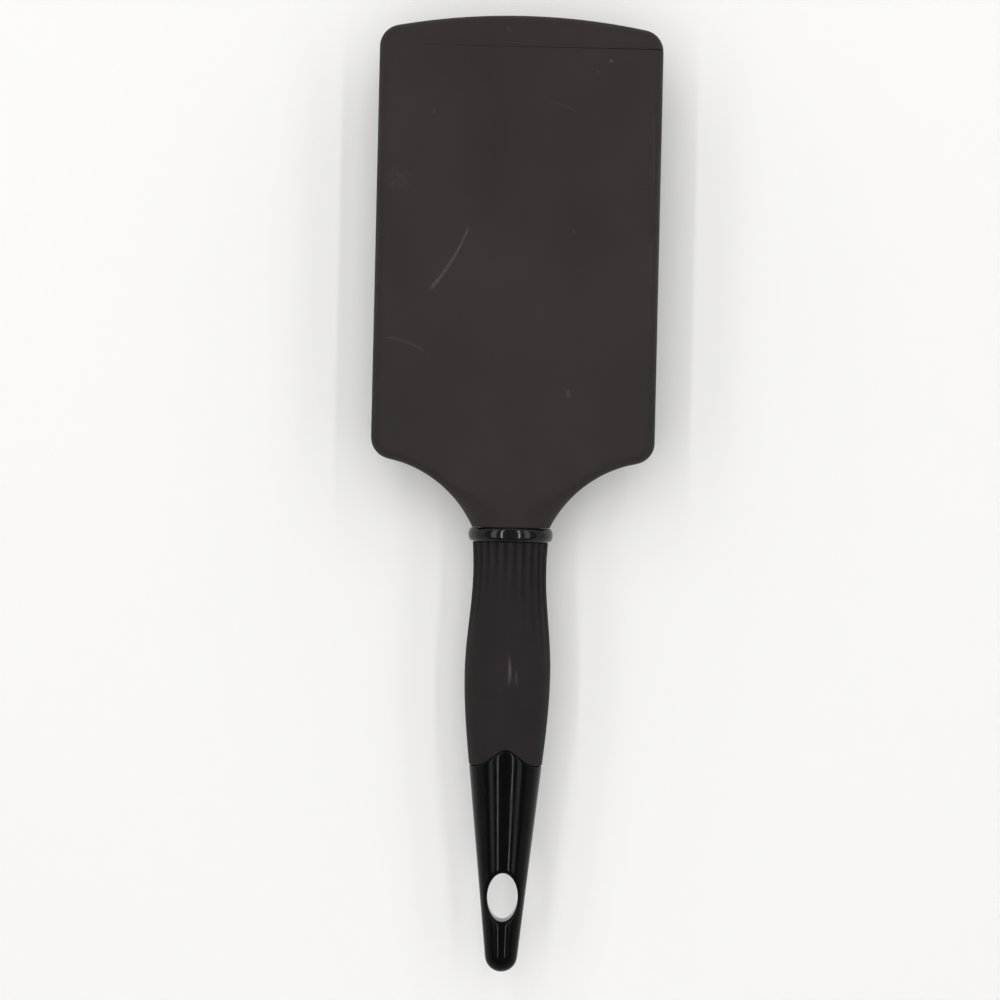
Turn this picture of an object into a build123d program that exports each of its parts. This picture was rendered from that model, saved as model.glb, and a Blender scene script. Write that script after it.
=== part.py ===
from build123d import *
import math
import os

# A large paddle hair brush, lying on its pins with the back of its head up.
# The origin is on the plane of the pin tips, under the middle of the brush's length.
# +Y runs from the handle to the tip of the head, +X across it, +Z up. All sizes are millimetres.

# Lengths along the brush
head_length = 139.3
collar_length = 3.7
grip_length = 61.0
cap_length = 56.8
joint_gap = 0.1

# Head outline, seen from the back
head_width = 77.2
tip_arc_radius = 179.5
tip_corner_radius = 6.0
side_length = 106.3
shoulder_corner_radius = 5.9
shoulder_radius = 32.4
neck_width = 21.2
tip_piece_length = 8.8

# Head in section
head_thickness = 14.0
back_wall = 2.4
side_wall = 2.2
back_edge_radius = 3.0
front_edge_radius = 1.5
neck_blend_length = 12.3
neck_blend_steps = 4
neck_flat = 0.4
rib_thickness = 1.6
rib_count_across = 4
rib_offset = 18.0

# Tongues that carry the tip piece
tongue_width = 10.0
tongue_length = 6.0
tongue_thickness = 1.6
tongue_spacing = 28.0

# Pad: a retaining frame, a rubber cushion with its air chamber, and a backing tray
bezel_width = 5.0
window_corner_radius = 8.0
chin_length = 4.7
frame_thickness = 1.5
frame_edge_radius = 0.7
cushion_rise = 4.0
cushion_wall = 1.5
cushion_crown_radius = 900.0
cushion_edge_radius = 3.2
tray_thickness = 2.0
tray_rim_width = 3.0
tray_vent_diameter = 5.0
tray_vent_spacing = 30.0
cushion_vent_diameter = 2.2
cushion_vent_inset = 4.2

# Pins, moulded in strips that each hold two staggered lines
pin_reach = 16.0
pin_base = 1.6
pin_tip = 1.0
pin_pitch = 5.8
pin_side_margin = 4.4
strip_pitch = 5.8
strip_field_margin = 6.0
strip_thickness = 1.2
strip_end_margin = 1.0
strip_corner_radius = 1.2
pad_travel = 3.0

# Handle: every section is an oval, this deep for its width
oval_ratio = 0.75
handle_drop = 9.0
collar_width = 23.2
waist_width = 20.0
waist_from_collar = 8.0
belly_width = 23.5
belly_from_collar = 36.0
seam_width = 20.0
seam_peak_height = 4.5
seam_peak_width = 17.8
seam_apex_radius = 2.8
seam_flank_slope = 36.0
tail_end_radius = 4.45
collar_steps = 8
grip_steps = 12
cap_steps = 5
flute_count = 24
flute_depth = 0.35
flute_length = 34.0

# Handle core and its tangs
core_width = 15.8
core_bore_width = 9.6
core_end_wall = 8.0
core_duct_diameter = 3.0
head_tang_width = 12.0
head_tang_depth = 7.0
head_tang_length = 20.0
tail_tang_width = 9.0
tail_tang_depth = 5.0
tail_tang_length = 21.0
tang_corner_radius = 1.0

# Hanging hole
hole_width = 8.3
hole_length = 13.3
hole_from_tail = 20.8
hole_rim_radius = 0.9

# Clearances
snug_fit = 0.05
loose_fit = 0.15
soft_gap = 0.3
seam_gap = 0.25

# Levels and stations worked out from the sizes
overall_length = head_length + collar_length + grip_length + cap_length + 2 * joint_gap
tip_y = overall_length / 2
tail_y = -tip_y
neck_y = tip_y - head_length
collar_front_y = neck_y - joint_gap
collar_back_y = collar_front_y - collar_length
grip_y = collar_back_y - joint_gap
seam_y = grip_y - grip_length
tip_seam_y = tip_y - tip_piece_length
blend_y = neck_y + neck_blend_length
half_width = head_width / 2

crown_z = pin_reach
front_z = crown_z + cushion_rise
back_z = front_z + head_thickness
ceiling_z = back_z - back_wall
handle_z = back_z - handle_drop
flange_z = front_z + frame_thickness
tray_rim_z = flange_z + cushion_wall


def save(shape, node):
    export_step(shape, f"parts/{node}.step")


def slab(y_low, y_high, z_low, z_high, width):
    """A box across the brush between two stations and two levels."""
    return Pos(0, (y_low + y_high) / 2, (z_low + z_high) / 2) * Box(width, y_high - y_low, z_high - z_low)


def prism(outline, z_low, z_high):
    """A plan outline pushed up from one level to another."""
    return extrude(Pos(0, 0, z_low) * outline, amount=z_high - z_low)


def arc_between(centre, radius, start_angle, end_angle):
    return CenterArc(centre, radius, start_angle, end_angle - start_angle)


def corner_under_arc(arc_centre_y, arc_radius, side_x, corner_radius):
    """Centre of a corner arc that runs from a straight side into the arc over it."""
    x = side_x - corner_radius
    y = arc_centre_y + math.sqrt((arc_radius - corner_radius) ** 2 - x ** 2)
    return x, y


def angle_of(dx, dy):
    return math.degrees(math.atan2(dy, dx))


# The head's plan: a wide arc at the tip, straight sides, and concave shoulders into the neck
tip_arc_y = tip_y - tip_arc_radius
tip_corner = corner_under_arc(tip_arc_y, tip_arc_radius, half_width, tip_corner_radius)
shoulder_corner = (half_width - shoulder_corner_radius, tip_corner[1] - side_length)


def shoulder_centre():
    """Centre of the concave arc, tangent to the corner above it and ending on the neck's width."""
    ax, ay = shoulder_corner
    bx, by = neck_width / 2, neck_y
    reach_a = shoulder_corner_radius + shoulder_radius
    span = math.hypot(bx - ax, by - ay)
    along = (reach_a ** 2 - shoulder_radius ** 2 + span ** 2) / (2 * span)
    aside = math.sqrt(reach_a ** 2 - along ** 2)
    ux, uy = (bx - ax) / span, (by - ay) / span
    return ax + along * ux - aside * uy, ay + along * uy + aside * ux


shoulder = shoulder_centre()


def shoulder_x(y, inset=0.0):
    """Half width of the shoulders and neck at a station."""
    return shoulder[0] - math.sqrt((shoulder_radius + inset) ** 2 - (y - shoulder[1]) ** 2)


def head_plan():
    """The head's outline down to the end of its neck."""
    tip_angle = angle_of(tip_corner[0], tip_corner[1] - tip_arc_y)
    turn = angle_of(shoulder[0] - shoulder_corner[0], shoulder[1] - shoulder_corner[1])
    neck_angle = angle_of(neck_width / 2 - shoulder[0], neck_y - shoulder[1])
    right = [
        arc_between((0, tip_arc_y), tip_arc_radius, 90, tip_angle),
        arc_between(tip_corner, tip_corner_radius, tip_angle, 0),
        Line((half_width, tip_corner[1]), (half_width, shoulder_corner[1])),
        arc_between(shoulder_corner, shoulder_corner_radius, 0, turn),
        arc_between(shoulder, shoulder_radius, turn + 180, neck_angle),
    ]
    left = [edge.mirror(Plane.YZ) for edge in right]
    end = Line((neck_width / 2, neck_y), (-neck_width / 2, neck_y))
    return make_face(Wire(right + left + [end]))


def field_plan(inset, corner, low_y):
    """An outline that follows the head's tip and sides, and has a straight lower edge."""
    x = half_width - inset
    radius = tip_arc_radius - inset
    top = corner_under_arc(tip_arc_y, radius, x, corner)
    tip_angle = angle_of(top[0], top[1] - tip_arc_y)
    low = (x - corner, low_y + corner)
    right = [
        arc_between((0, tip_arc_y), radius, 90, tip_angle),
        arc_between(top, corner, tip_angle, 0),
        Line((x, top[1]), (x, low[1])),
        arc_between(low, corner, 0, -90),
    ]
    left = [edge.mirror(Plane.YZ) for edge in right]
    end = Line((low[0], low_y), (-low[0], low_y))
    return make_face(Wire(right + left + [end]))


window_low_y = shoulder_corner[1] + chin_length
window_high_y = tip_y - bezel_width
window_width = head_width - 2 * bezel_width
pocket_low_y = window_low_y - bezel_width + side_wall
pocket_corner = tip_corner_radius - side_wall


def pocket_plan(inset=0.0):
    return field_plan(side_wall + inset, pocket_corner - inset, pocket_low_y + inset)


def window_plan(inset=0.0):
    return field_plan(bezel_width + inset, window_corner_radius - inset, window_low_y + inset)


def section_plane(y):
    """An upright plane across the handle, with its origin on the handle's axis."""
    return Plane(origin=(0, y, handle_z), x_dir=(1, 0, 0), z_dir=(0, -1, 0))


def ease(t):
    return (1 - math.cos(math.pi * t)) / 2


def neck_section(y):
    """The neck's section: a slab with rounded edges at the head, an oval at the collar."""
    blend = ease((blend_y - y) / neck_blend_length)
    x = shoulder_x(y)
    oval = neck_width / 2 * oval_ratio
    high = (back_z - handle_z) * (1 - blend) + oval * blend
    low = (front_z - handle_z) * (1 - blend) - oval * blend
    back_run = shoulder_x(blend_y) - shoulder_x(blend_y, back_edge_radius)
    front_run = shoulder_x(blend_y) - shoulder_x(blend_y, front_edge_radius)
    back_x = back_run * (1 - blend) + (x - neck_flat) * blend
    front_x = front_run * (1 - blend) + (x - neck_flat) * blend
    back_h = back_edge_radius * (1 - blend) + (oval - neck_flat) * blend
    front_h = front_edge_radius * (1 - blend) + (oval - neck_flat) * blend
    right = [
        EllipticalCenterArc((x - back_x, high - back_h), back_x, back_h, 0, arc_size=90),
        Line((x, high - back_h), (x, low + front_h)),
        EllipticalCenterArc((x - front_x, low + front_h), front_x, front_h, 270, arc_size=90),
    ]
    left = [edge.mirror(Plane.YZ) for edge in right]
    top = Line((back_x - x, high), (x - back_x, high))
    bottom = Line((front_x - x, low), (x - front_x, low))
    return section_plane(y) * make_face(Wire(right + left + [top, bottom]))


def oval_face(y, width):
    return section_plane(y) * Ellipse(width / 2, width / 2 * oval_ratio)


def oval_rod(y_low, y_high, width):
    return extrude(oval_face(y_high, width), amount=y_high - y_low)


def tang_rod(y_low, y_high, width, depth):
    """A bar with rounded corners along the handle's axis."""
    face = section_plane(y_high) * RectangleRounded(width, depth, tang_corner_radius)
    return extrude(face, amount=y_high - y_low)


def head_block():
    """The head as one block with rounded edges, from its tip to the start of the neck's blend."""
    block = prism(head_plan(), front_z, back_z)
    back_edges = block.faces().sort_by(Axis.Z)[-1].outer_wire().edges()
    outer_back = [edge for edge in back_edges if edge.center().Y > neck_y + snug_fit]
    block = fillet(outer_back, back_edge_radius)
    outer_front = [
        edge for edge in block.faces().sort_by(Axis.Z)[0].outer_wire().edges()
        if edge.center().Y > neck_y + snug_fit
    ]
    block = fillet(outer_front, front_edge_radius)
    return block & slab(blend_y, tip_y, front_z, back_z, head_width)


def neck(block):
    """The neck, which starts on the block's own end face so that the two run together."""
    start = block.faces().sort_by(Axis.Y)[0]
    stations = [blend_y - neck_blend_length * i / neck_blend_steps for i in range(1, neck_blend_steps + 1)]
    return loft([start] + [neck_section(y) for y in stations])


def pocket():
    return prism(pocket_plan(), front_z - 1, ceiling_z)


def ribs():
    """Ribs on the inside of the back, which the tray rests on."""
    low = pocket_low_y - 1
    high = tip_seam_y - tongue_length - 2 * loose_fit
    walls = slab(low, high, tray_back_z, ceiling_z, rib_thickness)
    lengthwise = [Pos(x, 0, 0) * walls for x in (-rib_offset, 0, rib_offset)]
    step = (high - pocket_low_y) / rib_count_across
    rows = [pocket_low_y + step * (i + 0.5) for i in range(rib_count_across)]
    across = [
        slab(y - rib_thickness / 2, y + rib_thickness / 2, tray_back_z, ceiling_z, head_width)
        for y in rows
    ]
    inside = prism(pocket_plan(-side_wall / 2), tray_back_z, ceiling_z + back_wall / 2)
    return (lengthwise[0] + lengthwise[1:] + across) & inside


def head_back_shell(block):
    shell = block & slab(neck_y, tip_seam_y, front_z, back_z, head_width)
    shell = shell + neck(block) - pocket() + ribs()
    socket = tang_rod(neck_y - 1, neck_y + head_tang_length + loose_fit,
                      head_tang_width + 2 * snug_fit, head_tang_depth + 2 * snug_fit)
    return shell - socket


def head_tip_piece(block):
    """The end of the head, with tongues that slide under the back of the shell."""
    start = tip_seam_y + joint_gap
    piece = (block & slab(start, tip_y, front_z, back_z, head_width)) - pocket()
    top = ceiling_z - snug_fit
    tongue = slab(tip_seam_y - tongue_length, start + back_wall, top - tongue_thickness, top, tongue_width)
    root = slab(start, start + back_wall, top - tongue_thickness, ceiling_z + back_wall / 2, tongue_width)
    tongues = [Pos(x, 0, 0) * (tongue + root) for x in (-tongue_spacing, 0, tongue_spacing)]
    return piece + tongues


def cushion_frame():
    """The ring that holds the cushion's flange."""
    ring = prism(pocket_plan(loose_fit), front_z, flange_z) - prism(window_plan(), front_z - 1, flange_z + 1)
    inner = ring.faces().sort_by(Axis.Z)[0].inner_wires()[0].edges()
    return fillet(inner, frame_edge_radius)


# The pad: how many pins and strips the window takes, and the levels behind the cushion
pad_y = (window_low_y + window_high_y) / 2
crown_centre_z = crown_z + cushion_crown_radius
pins_per_line = int((window_width - 2 * pin_side_margin) / pin_pitch) + 1
strip_count = int((window_high_y - window_low_y - 2 * strip_field_margin) / strip_pitch)
strip_half_length = (pins_per_line - 1) / 2 * pin_pitch + strip_end_margin
strip_half_depth = (strip_pitch - soft_gap) / 2


def strip_y(row):
    return pad_y + (row - (strip_count - 1) / 2) * strip_pitch


def strip_level(row):
    """Height of a strip's front, clear of the cushion's inner skin at the strip's far corners."""
    radius = cushion_crown_radius - cushion_wall
    far_y = abs(strip_y(row) - pad_y) + strip_half_depth
    return crown_centre_z - math.sqrt(radius ** 2 - strip_half_length ** 2 - far_y ** 2) + soft_gap


tray_z = strip_level(0) + strip_thickness + pad_travel + soft_gap
tray_back_z = tray_z + tray_thickness


def dome(inset, z_top):
    """A crowned body inside the window, with rolled sides."""
    block = prism(window_plan(soft_gap + inset), crown_z - 1, z_top)
    ball = Pos(0, pad_y, crown_centre_z) * Sphere(cushion_crown_radius - inset)
    body = block & ball
    edge_wire = body.faces().sort_by(Axis.Z)[0].outer_wire().edges()
    return fillet(edge_wire, cushion_edge_radius - inset)


def pin_places(row):
    """The pins of one strip: a full line, and a line one pin shorter between them."""
    y = strip_y(row)
    half_step = strip_pitch / 4
    full = [((i - (pins_per_line - 1) / 2) * pin_pitch, y + half_step) for i in range(pins_per_line)]
    short = [((i - (pins_per_line - 2) / 2) * pin_pitch, y - half_step) for i in range(pins_per_line - 1)]
    return full + short


def cushion():
    """The rubber cushion: a crowned skin over the air chamber, its flange, and a hole for each pin."""
    skin = dome(0, tray_rim_z - snug_fit) - dome(cushion_wall, tray_rim_z + 1)
    flange = prism(pocket_plan(soft_gap), flange_z + snug_fit, tray_rim_z - snug_fit)
    flange = flange - prism(window_plan(soft_gap + cushion_wall), flange_z - 1, tray_rim_z + 1)
    hole_size = pin_base + 2 * soft_gap
    punch_height = 3 * cushion_rise
    punch = Pos(0, 0, front_z) * Box(hole_size, hole_size, punch_height)
    places = [place for row in range(strip_count) for place in pin_places(row)]
    vent = Pos(0, window_low_y + cushion_vent_inset, front_z)
    vent = vent * Cylinder(cushion_vent_diameter / 2, punch_height)
    return skin + flange - ([Pos(x, y, 0) * punch for x, y in places] + [vent])


def pin_strip(row):
    """One moulded strip behind the cushion, with its pins through to the tips."""
    level = strip_level(row)
    plan = RectangleRounded(2 * strip_half_length, 2 * strip_half_depth, strip_corner_radius)
    bar = prism(Pos(0, strip_y(row)) * plan, level, level + strip_thickness)
    root = Pos(0, 0, level + strip_thickness / 2) * Rectangle(pin_base, pin_base)
    pin = loft([Rectangle(pin_tip, pin_tip), root])
    return bar + [Pos(x, y, 0) * pin for x, y in pin_places(row)]


def pad_backing():
    """The tray behind the air chamber, with a rim for the cushion's flange."""
    floor = prism(pocket_plan(loose_fit), tray_z, tray_back_z)
    rim = prism(pocket_plan(loose_fit), tray_rim_z, tray_z)
    rim = rim - prism(pocket_plan(tray_rim_width), tray_rim_z - 1, tray_z)
    vent = Cylinder(tray_vent_diameter / 2, 4 * tray_thickness)
    offset = rib_offset / 2
    vents = [Pos(offset, pad_y + i * tray_vent_spacing, tray_z) * vent for i in (-1, 0, 1)]
    return floor + rim - vents


def handle_half(y):
    """Half width of the grip at a station: an easy waist behind the collar, then the belly."""
    belly_y = collar_back_y - belly_from_collar
    waist_y = collar_back_y - waist_from_collar
    if y > belly_y:
        t = (waist_y - y) / (waist_y - belly_y)
        return waist_width / 2 + (belly_width - waist_width) / 2 * ease(t)
    t = (belly_y - y) / (2 * (belly_y - seam_y))
    return belly_width / 2 - (belly_width - seam_width) * ease(t)


def fluted_face(y):
    """The grip's section, an oval with shallow flutes that fade out along its length."""
    fade = 1 - ease(min((grip_y - y) / flute_length, 1))
    points = []
    for i in range(4 * flute_count):
        turn = math.pi / 2 * i / flute_count
        reach = handle_half(y) - flute_depth / 2 * fade * (1 - math.cos(flute_count * turn))
        points.append((reach * math.cos(turn), reach * oval_ratio * math.sin(turn)))
    return section_plane(y) * make_face(Wire([Spline(*points, periodic=True)]))


def grip_form():
    stations = [grip_y - grip_length * i / (grip_steps - 1) for i in range(grip_steps)]
    return loft([fluted_face(y) for y in stations])


def cap_form():
    """The outer form of the tail: the end of the grip's curve, a long taper and a round end."""
    start_y = seam_y + 2 * seam_peak_height
    stations = [start_y - 2 * seam_peak_height * i / (cap_steps - 1) for i in range(cap_steps)]
    start = loft([oval_face(y, 2 * handle_half(y)) for y in stations])
    end_y = tail_y + tail_end_radius
    run = seam_y - end_y
    rise = seam_width / 2
    lean = math.atan2(rise, run) - math.asin(tail_end_radius / math.hypot(rise, run))
    touch_y = end_y - tail_end_radius * math.sin(lean)
    touch_width = 2 * tail_end_radius * math.cos(lean)
    cone = loft([oval_face(seam_y, 2 * handle_half(seam_y)), oval_face(touch_y, touch_width)])
    ball = Pos(0, end_y, handle_z) * scale(Sphere(tail_end_radius), by=(1, 1, oval_ratio))
    end = ball & slab(tail_y - 1, touch_y, handle_z - tail_end_radius, handle_z + tail_end_radius, head_width)
    return start + cone + end


def seam_region(shift):
    """All that lies behind the peaked seam between grip and tail cap."""
    half = seam_peak_width / 2
    slope = math.radians(seam_flank_slope)
    both_radii = (half * math.tan(slope) - seam_peak_height) / (1 / math.cos(slope) - 1)
    foot_radius = both_radii - seam_apex_radius
    low = seam_y - shift
    peak = low + seam_peak_height
    apex_end = (
        seam_apex_radius * math.sin(slope), peak - seam_apex_radius * (1 - math.cos(slope)),
    )
    foot_start = (half - foot_radius * math.sin(slope), low + foot_radius * (1 - math.cos(slope)))
    right = [
        arc_between((0, peak - seam_apex_radius), seam_apex_radius, 90, 90 - seam_flank_slope),
        Line(apex_end, foot_start),
        arc_between((half, low + foot_radius), foot_radius, 270 - seam_flank_slope, 270),
        Line((half, low), (head_width, low)),
        Line((head_width, low), (head_width, 2 * tail_y)),
    ]
    left = [edge.mirror(Plane.YZ) for edge in right]
    end = Line((head_width, 2 * tail_y), (-head_width, 2 * tail_y))
    return prism(make_face(Wire(right + left + [end])), 0, 2 * back_z)


core_end_y = seam_y + seam_peak_height + loose_fit


def neck_collar():
    """A half-round ring between the neck and the grip."""
    centre = (collar_front_y + collar_back_y) / 2
    faces = []
    for i in range(collar_steps + 1):
        turn = math.pi * (i / collar_steps - 1 / 2)
        width = neck_width + (collar_width - neck_width) * math.cos(turn)
        faces.append(oval_face(centre + collar_length / 2 * math.sin(turn), width))
    bore = oval_rod(collar_back_y - 1, collar_front_y + 1, core_width + 2 * snug_fit)
    return loft(faces) - bore


def tail_tang_space():
    """The room that the tail tang takes, in the sleeve's end and in the cap."""
    return tang_rod(core_end_y - tail_tang_length - loose_fit, core_end_y,
                    tail_tang_width + 2 * snug_fit, tail_tang_depth + 2 * snug_fit)


def grip_sleeve():
    """The soft sleeve over the core."""
    sleeve = grip_form() - seam_region(0)
    bore = oval_rod(core_end_y - snug_fit, grip_y + 1, core_width + 2 * snug_fit)
    return sleeve - bore - tail_tang_space()


def handle_core():
    """The hollow rod inside collar and grip, with a tang into the neck and one into the tail cap."""
    rod_start = neck_y - snug_fit
    rod = oval_rod(core_end_y, rod_start, core_width)
    front_end = neck_y + head_tang_length
    front = tang_rod(rod_start - core_end_wall, front_end, head_tang_width, head_tang_depth)
    back_end = core_end_y - tail_tang_length
    back = tang_rod(back_end, core_end_y + core_end_wall, tail_tang_width, tail_tang_depth)
    bore = oval_rod(core_end_y + core_end_wall, rod_start - core_end_wall, core_bore_width)
    duct_face = section_plane(front_end) * Circle(core_duct_diameter / 2)
    duct = extrude(duct_face, amount=head_tang_length + 2 * core_end_wall)
    return rod + front + back - bore - duct


def tail_cap():
    """The gloss end of the handle, with its socket and the hanging hole."""
    cap = cap_form() & seam_region(seam_gap)
    hole_y = tail_y + hole_from_tail
    hole = prism(Pos(0, hole_y) * Ellipse(hole_width / 2, hole_length / 2), 0, back_z)
    cap = cap - hole - tail_tang_space()

    def on_hole(point):
        across = point.X / (hole_width / 2)
        along = (point.Y - hole_y) / (hole_length / 2)
        return abs(math.hypot(across, along) - 1) < 0.01

    rims = [
        edge for edge in cap.edges()
        if on_hole(edge @ 0) and on_hole(edge @ 0.5) and edge.bounding_box().size.Y > hole_rim_radius
    ]
    return fillet(rims, hole_rim_radius)


def main():
    os.makedirs("parts", exist_ok=True)
    block = head_block()
    save(head_back_shell(block), "head_back_shell")
    save(head_tip_piece(block), "head_tip_piece")
    save(cushion_frame(), "cushion_frame")
    save(cushion(), "cushion")
    save(pad_backing(), "pad_backing")
    for row in range(strip_count):
        save(pin_strip(row), f"pin_strip_{row + 1:02d}")
    save(neck_collar(), "neck_collar")
    save(grip_sleeve(), "grip_sleeve")
    save(handle_core(), "handle_core")
    save(tail_cap(), "tail_cap")


main()
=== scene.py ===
import math

import bmesh
import bpy
from bpy.props import FloatProperty, FloatVectorProperty, IntProperty, PointerProperty
from mathutils import Matrix, Vector


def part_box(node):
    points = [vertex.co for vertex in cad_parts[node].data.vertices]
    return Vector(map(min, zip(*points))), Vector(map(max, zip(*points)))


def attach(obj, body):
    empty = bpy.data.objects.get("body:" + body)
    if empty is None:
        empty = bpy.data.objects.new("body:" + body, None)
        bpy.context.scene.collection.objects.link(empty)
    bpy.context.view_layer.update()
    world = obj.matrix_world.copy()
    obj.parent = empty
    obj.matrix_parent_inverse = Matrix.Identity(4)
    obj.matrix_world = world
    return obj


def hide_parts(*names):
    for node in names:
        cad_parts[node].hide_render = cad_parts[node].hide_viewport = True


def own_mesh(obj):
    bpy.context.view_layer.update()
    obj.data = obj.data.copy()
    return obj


bl_info = {
    "name": "Paddle hair brush",
    "version": (1, 0, 0),
    "blender": (4, 5, 0),
    "location": "3D View > Sidebar > Brush",
    "description": "Builds the pieces and the finishes of a paddle hair brush",
    "category": "Add Mesh",
}

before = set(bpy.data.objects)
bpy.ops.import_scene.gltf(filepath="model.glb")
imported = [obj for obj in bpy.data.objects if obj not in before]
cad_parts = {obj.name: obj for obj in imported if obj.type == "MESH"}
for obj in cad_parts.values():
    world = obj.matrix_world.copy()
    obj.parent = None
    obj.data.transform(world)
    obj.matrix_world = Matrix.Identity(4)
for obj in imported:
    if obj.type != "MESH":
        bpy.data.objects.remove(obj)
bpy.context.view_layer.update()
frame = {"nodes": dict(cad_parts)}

# The corners of the CAD pieces' boxes, which place the pieces built here
SHELL_LOW, SHELL_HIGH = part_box("head_back_shell")
TIP_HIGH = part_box("head_tip_piece")[1]
RING_LOW, RING_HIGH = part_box("cushion_frame")
PAD_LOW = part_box("cushion")[0]
COLLAR_LOW, COLLAR_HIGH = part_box("neck_collar")
SLEEVE_LOW, SLEEVE_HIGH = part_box("grip_sleeve")
CAP_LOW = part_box("tail_cap")[0]
STRIPS = sorted(name for name in frame["nodes"] if name.startswith("pin_strip_"))

# The height of the handle's axis over the table
HANDLE_Z = (COLLAR_LOW.z + COLLAR_HIGH.z) / 2

HALF_TURN = math.pi
QUARTER_TURN = math.pi / 2
FULL_TURN = 2 * math.pi
SHARP_ANGLE = math.radians(40)
MERGE = 1e-7


def size(label, millimetres, note):
    """A length property, given in millimetres and kept in metres."""
    default = millimetres / 1000
    return FloatProperty(name=label, description=note, default=default, precision=5, unit="LENGTH")


def degrees(label, value, note):
    """An angle property, given in degrees and kept in radians."""
    return FloatProperty(name=label, description=note, default=math.radians(value), subtype="ANGLE")


def colour(label, value, note):
    """A colour property."""
    return FloatVectorProperty(
        name=label, description=note, default=value, subtype="COLOR", min=0, max=1, size=3,
    )


class HeadSizes(bpy.types.PropertyGroup):
    tip_arc: size("Tip arc radius", 179.5, "Radius of the wide arc at the end of the head")
    tip_corner: size("Tip corner radius", 6.0, "Radius of the two corners beside that arc")
    side_length: size("Side length", 106.3, "Straight run of each side")
    shoulder_corner: size("Shoulder corner radius", 5.9, "Radius where a side turns into the shoulder")
    shoulder: size("Shoulder radius", 32.4, "Radius of the hollow shoulder down to the neck")
    neck_half: size("Neck half width", 10.6, "Half width of the neck at the collar")
    back_round: size("Back edge radius", 3.0, "Rounding round the back of the head")
    front_round: size("Front edge radius", 1.5, "Rounding round the front of the head")
    side_wall: size("Side wall", 2.2, "Thickness of the head's sides")
    back_wall: size("Back wall", 2.4, "Thickness of the head's back")
    neck_blend: size("Neck blend", 12.3, "Length in which the slab turns into an oval")
    neck_flat: size("Neck flat", 0.4, "Flat left at the middle of each side of the oval")
    neck_edge: size("Neck edge radius", 0.25, "Rounding at the neck's end")
    seam_chamfer: size("Seam chamfer", 0.16, "Chamfer on both sides of the tip seam")
    seam_gap: size("Seam gap", 0.1, "Gap between the shell and the tip piece")
    tang_width: size("Socket width", 12.1, "Width of the socket for the handle's tang")
    tang_depth: size("Socket height", 7.1, "Height of that socket")
    tang_length: size("Socket length", 20.15, "Depth of that socket")


class PadSizes(bpy.types.PropertyGroup):
    bezel: size("Bezel width", 5.0, "From the head's side to the window for the cushion")
    window_corner: size("Window corner radius", 8.0, "Radius of the window's corners")
    chin: size("Chin length", 4.7, "From the shoulder corner to the window")
    frame_round: size("Frame edge radius", 0.7, "Rounding of the frame's inner edge")
    fit: size("Frame clearance", 0.15, "Clearance of the frame in the head")
    soft_gap: size("Cushion clearance", 0.3, "Clearance round the cushion")
    wall: size("Cushion wall", 1.5, "Thickness of the rubber")
    crown: size("Cushion crown radius", 900, "Radius of the cushion's crown")
    edge: size("Cushion edge radius", 3.2, "Rolled edge of the cushion")
    boss: size("Boss radius", 1.55, "Raised ring of rubber round each pin")
    boss_height: size("Boss height", 0.35, "Height of that ring")
    vent: size("Vent radius", 1.1, "Air hole near the handle end of the cushion")
    vent_inset: size("Vent inset", 4.2, "From the window's end to the vent")
    cell: size("Mesh cell", 0.58, "Cell of the cushion's mesh, a tenth of the pin pitch")


class PinSizes(bpy.types.PropertyGroup):
    pitch: size("Pin pitch", 5.8, "Distance between pins in a line, and between strips")
    base: size("Pin base radius", 0.8, "Radius of a pin at the cushion")
    neck: size("Pin neck radius", 0.5, "Radius of a pin above its ball")
    ball: size("Pin ball radius", 0.8, "Radius of the ball at a pin's end")
    around: IntProperty(name="Pin sides", description="Faces round a pin", default=8, min=6)
    bar_height: size("Strip thickness", 1.2, "Thickness of the bar behind the cushion")
    bar_round: size("Strip edge radius", 0.3, "Rounding of the bar's edges")


class HandleSizes(bpy.types.PropertyGroup):
    oval: FloatProperty(name="Oval ratio", description="Depth of each section for its width", default=0.75)
    core_half: size("Core half width", 7.95, "Half width of the bore for the core")
    waist_half: size("Waist half width", 10.0, "Half width at the waist")
    waist_from_collar: size("Waist place", 8.0, "From the collar to the waist")
    belly_from_collar: size("Belly place", 36.0, "From the collar to the belly")
    seam_half: size("Seam half width", 10.0, "Half width where the tail cap starts")
    sleeve_edge: size("Sleeve edge radius", 0.25, "Rounding of the sleeve's ends")
    flutes: IntProperty(name="Flutes", description="Number of flutes round the grip", default=24)
    flute_depth: size("Flute depth", 0.5, "Depth of a flute at the collar")
    flute_long: size("Long flutes", 52, "Length in which the flutes at the sides fade out")
    flute_short: size("Short flutes", 19, "Length in which the flutes at the middle fade out")
    core_gap: size("Core end", 4.6, "From the seam's feet to the end of the bore")


class CapSizes(bpy.types.PropertyGroup):
    peak: size("Seam peak height", 4.5, "Height of the seam's peak above its feet")
    peak_half: size("Seam peak half width", 8.9, "From the peak to each foot of the seam")
    apex: size("Seam apex radius", 2.8, "Radius of the peak")
    flank: degrees("Seam flank slope", 36, "Slope of the seam beside its peak")
    gap: size("Seam gap", 0.15, "Gap between the grip and the tail cap")
    rim: size("Cap edge radius", 0.4, "Rounding of the cap's edge at the seam")
    tail_round: size("Tail radius", 4.45, "Radius of the round end")
    hole_half_width: size("Hole half width", 4.15, "Half width of the hanging hole")
    hole_half_length: size("Hole half length", 6.65, "Half length of the hanging hole")
    hole_from_tail: size("Hole place", 20.8, "From the tail's end to the middle of the hole")
    hole_rim: size("Hole rim radius", 0.9, "Rounding of the hole's rim")
    tang_width: size("Socket width", 9.1, "Width of the socket for the core's tang")
    tang_depth: size("Socket height", 5.1, "Height of that socket")
    tang_length: size("Socket length", 16, "Depth of that socket below the seam's feet")


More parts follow.
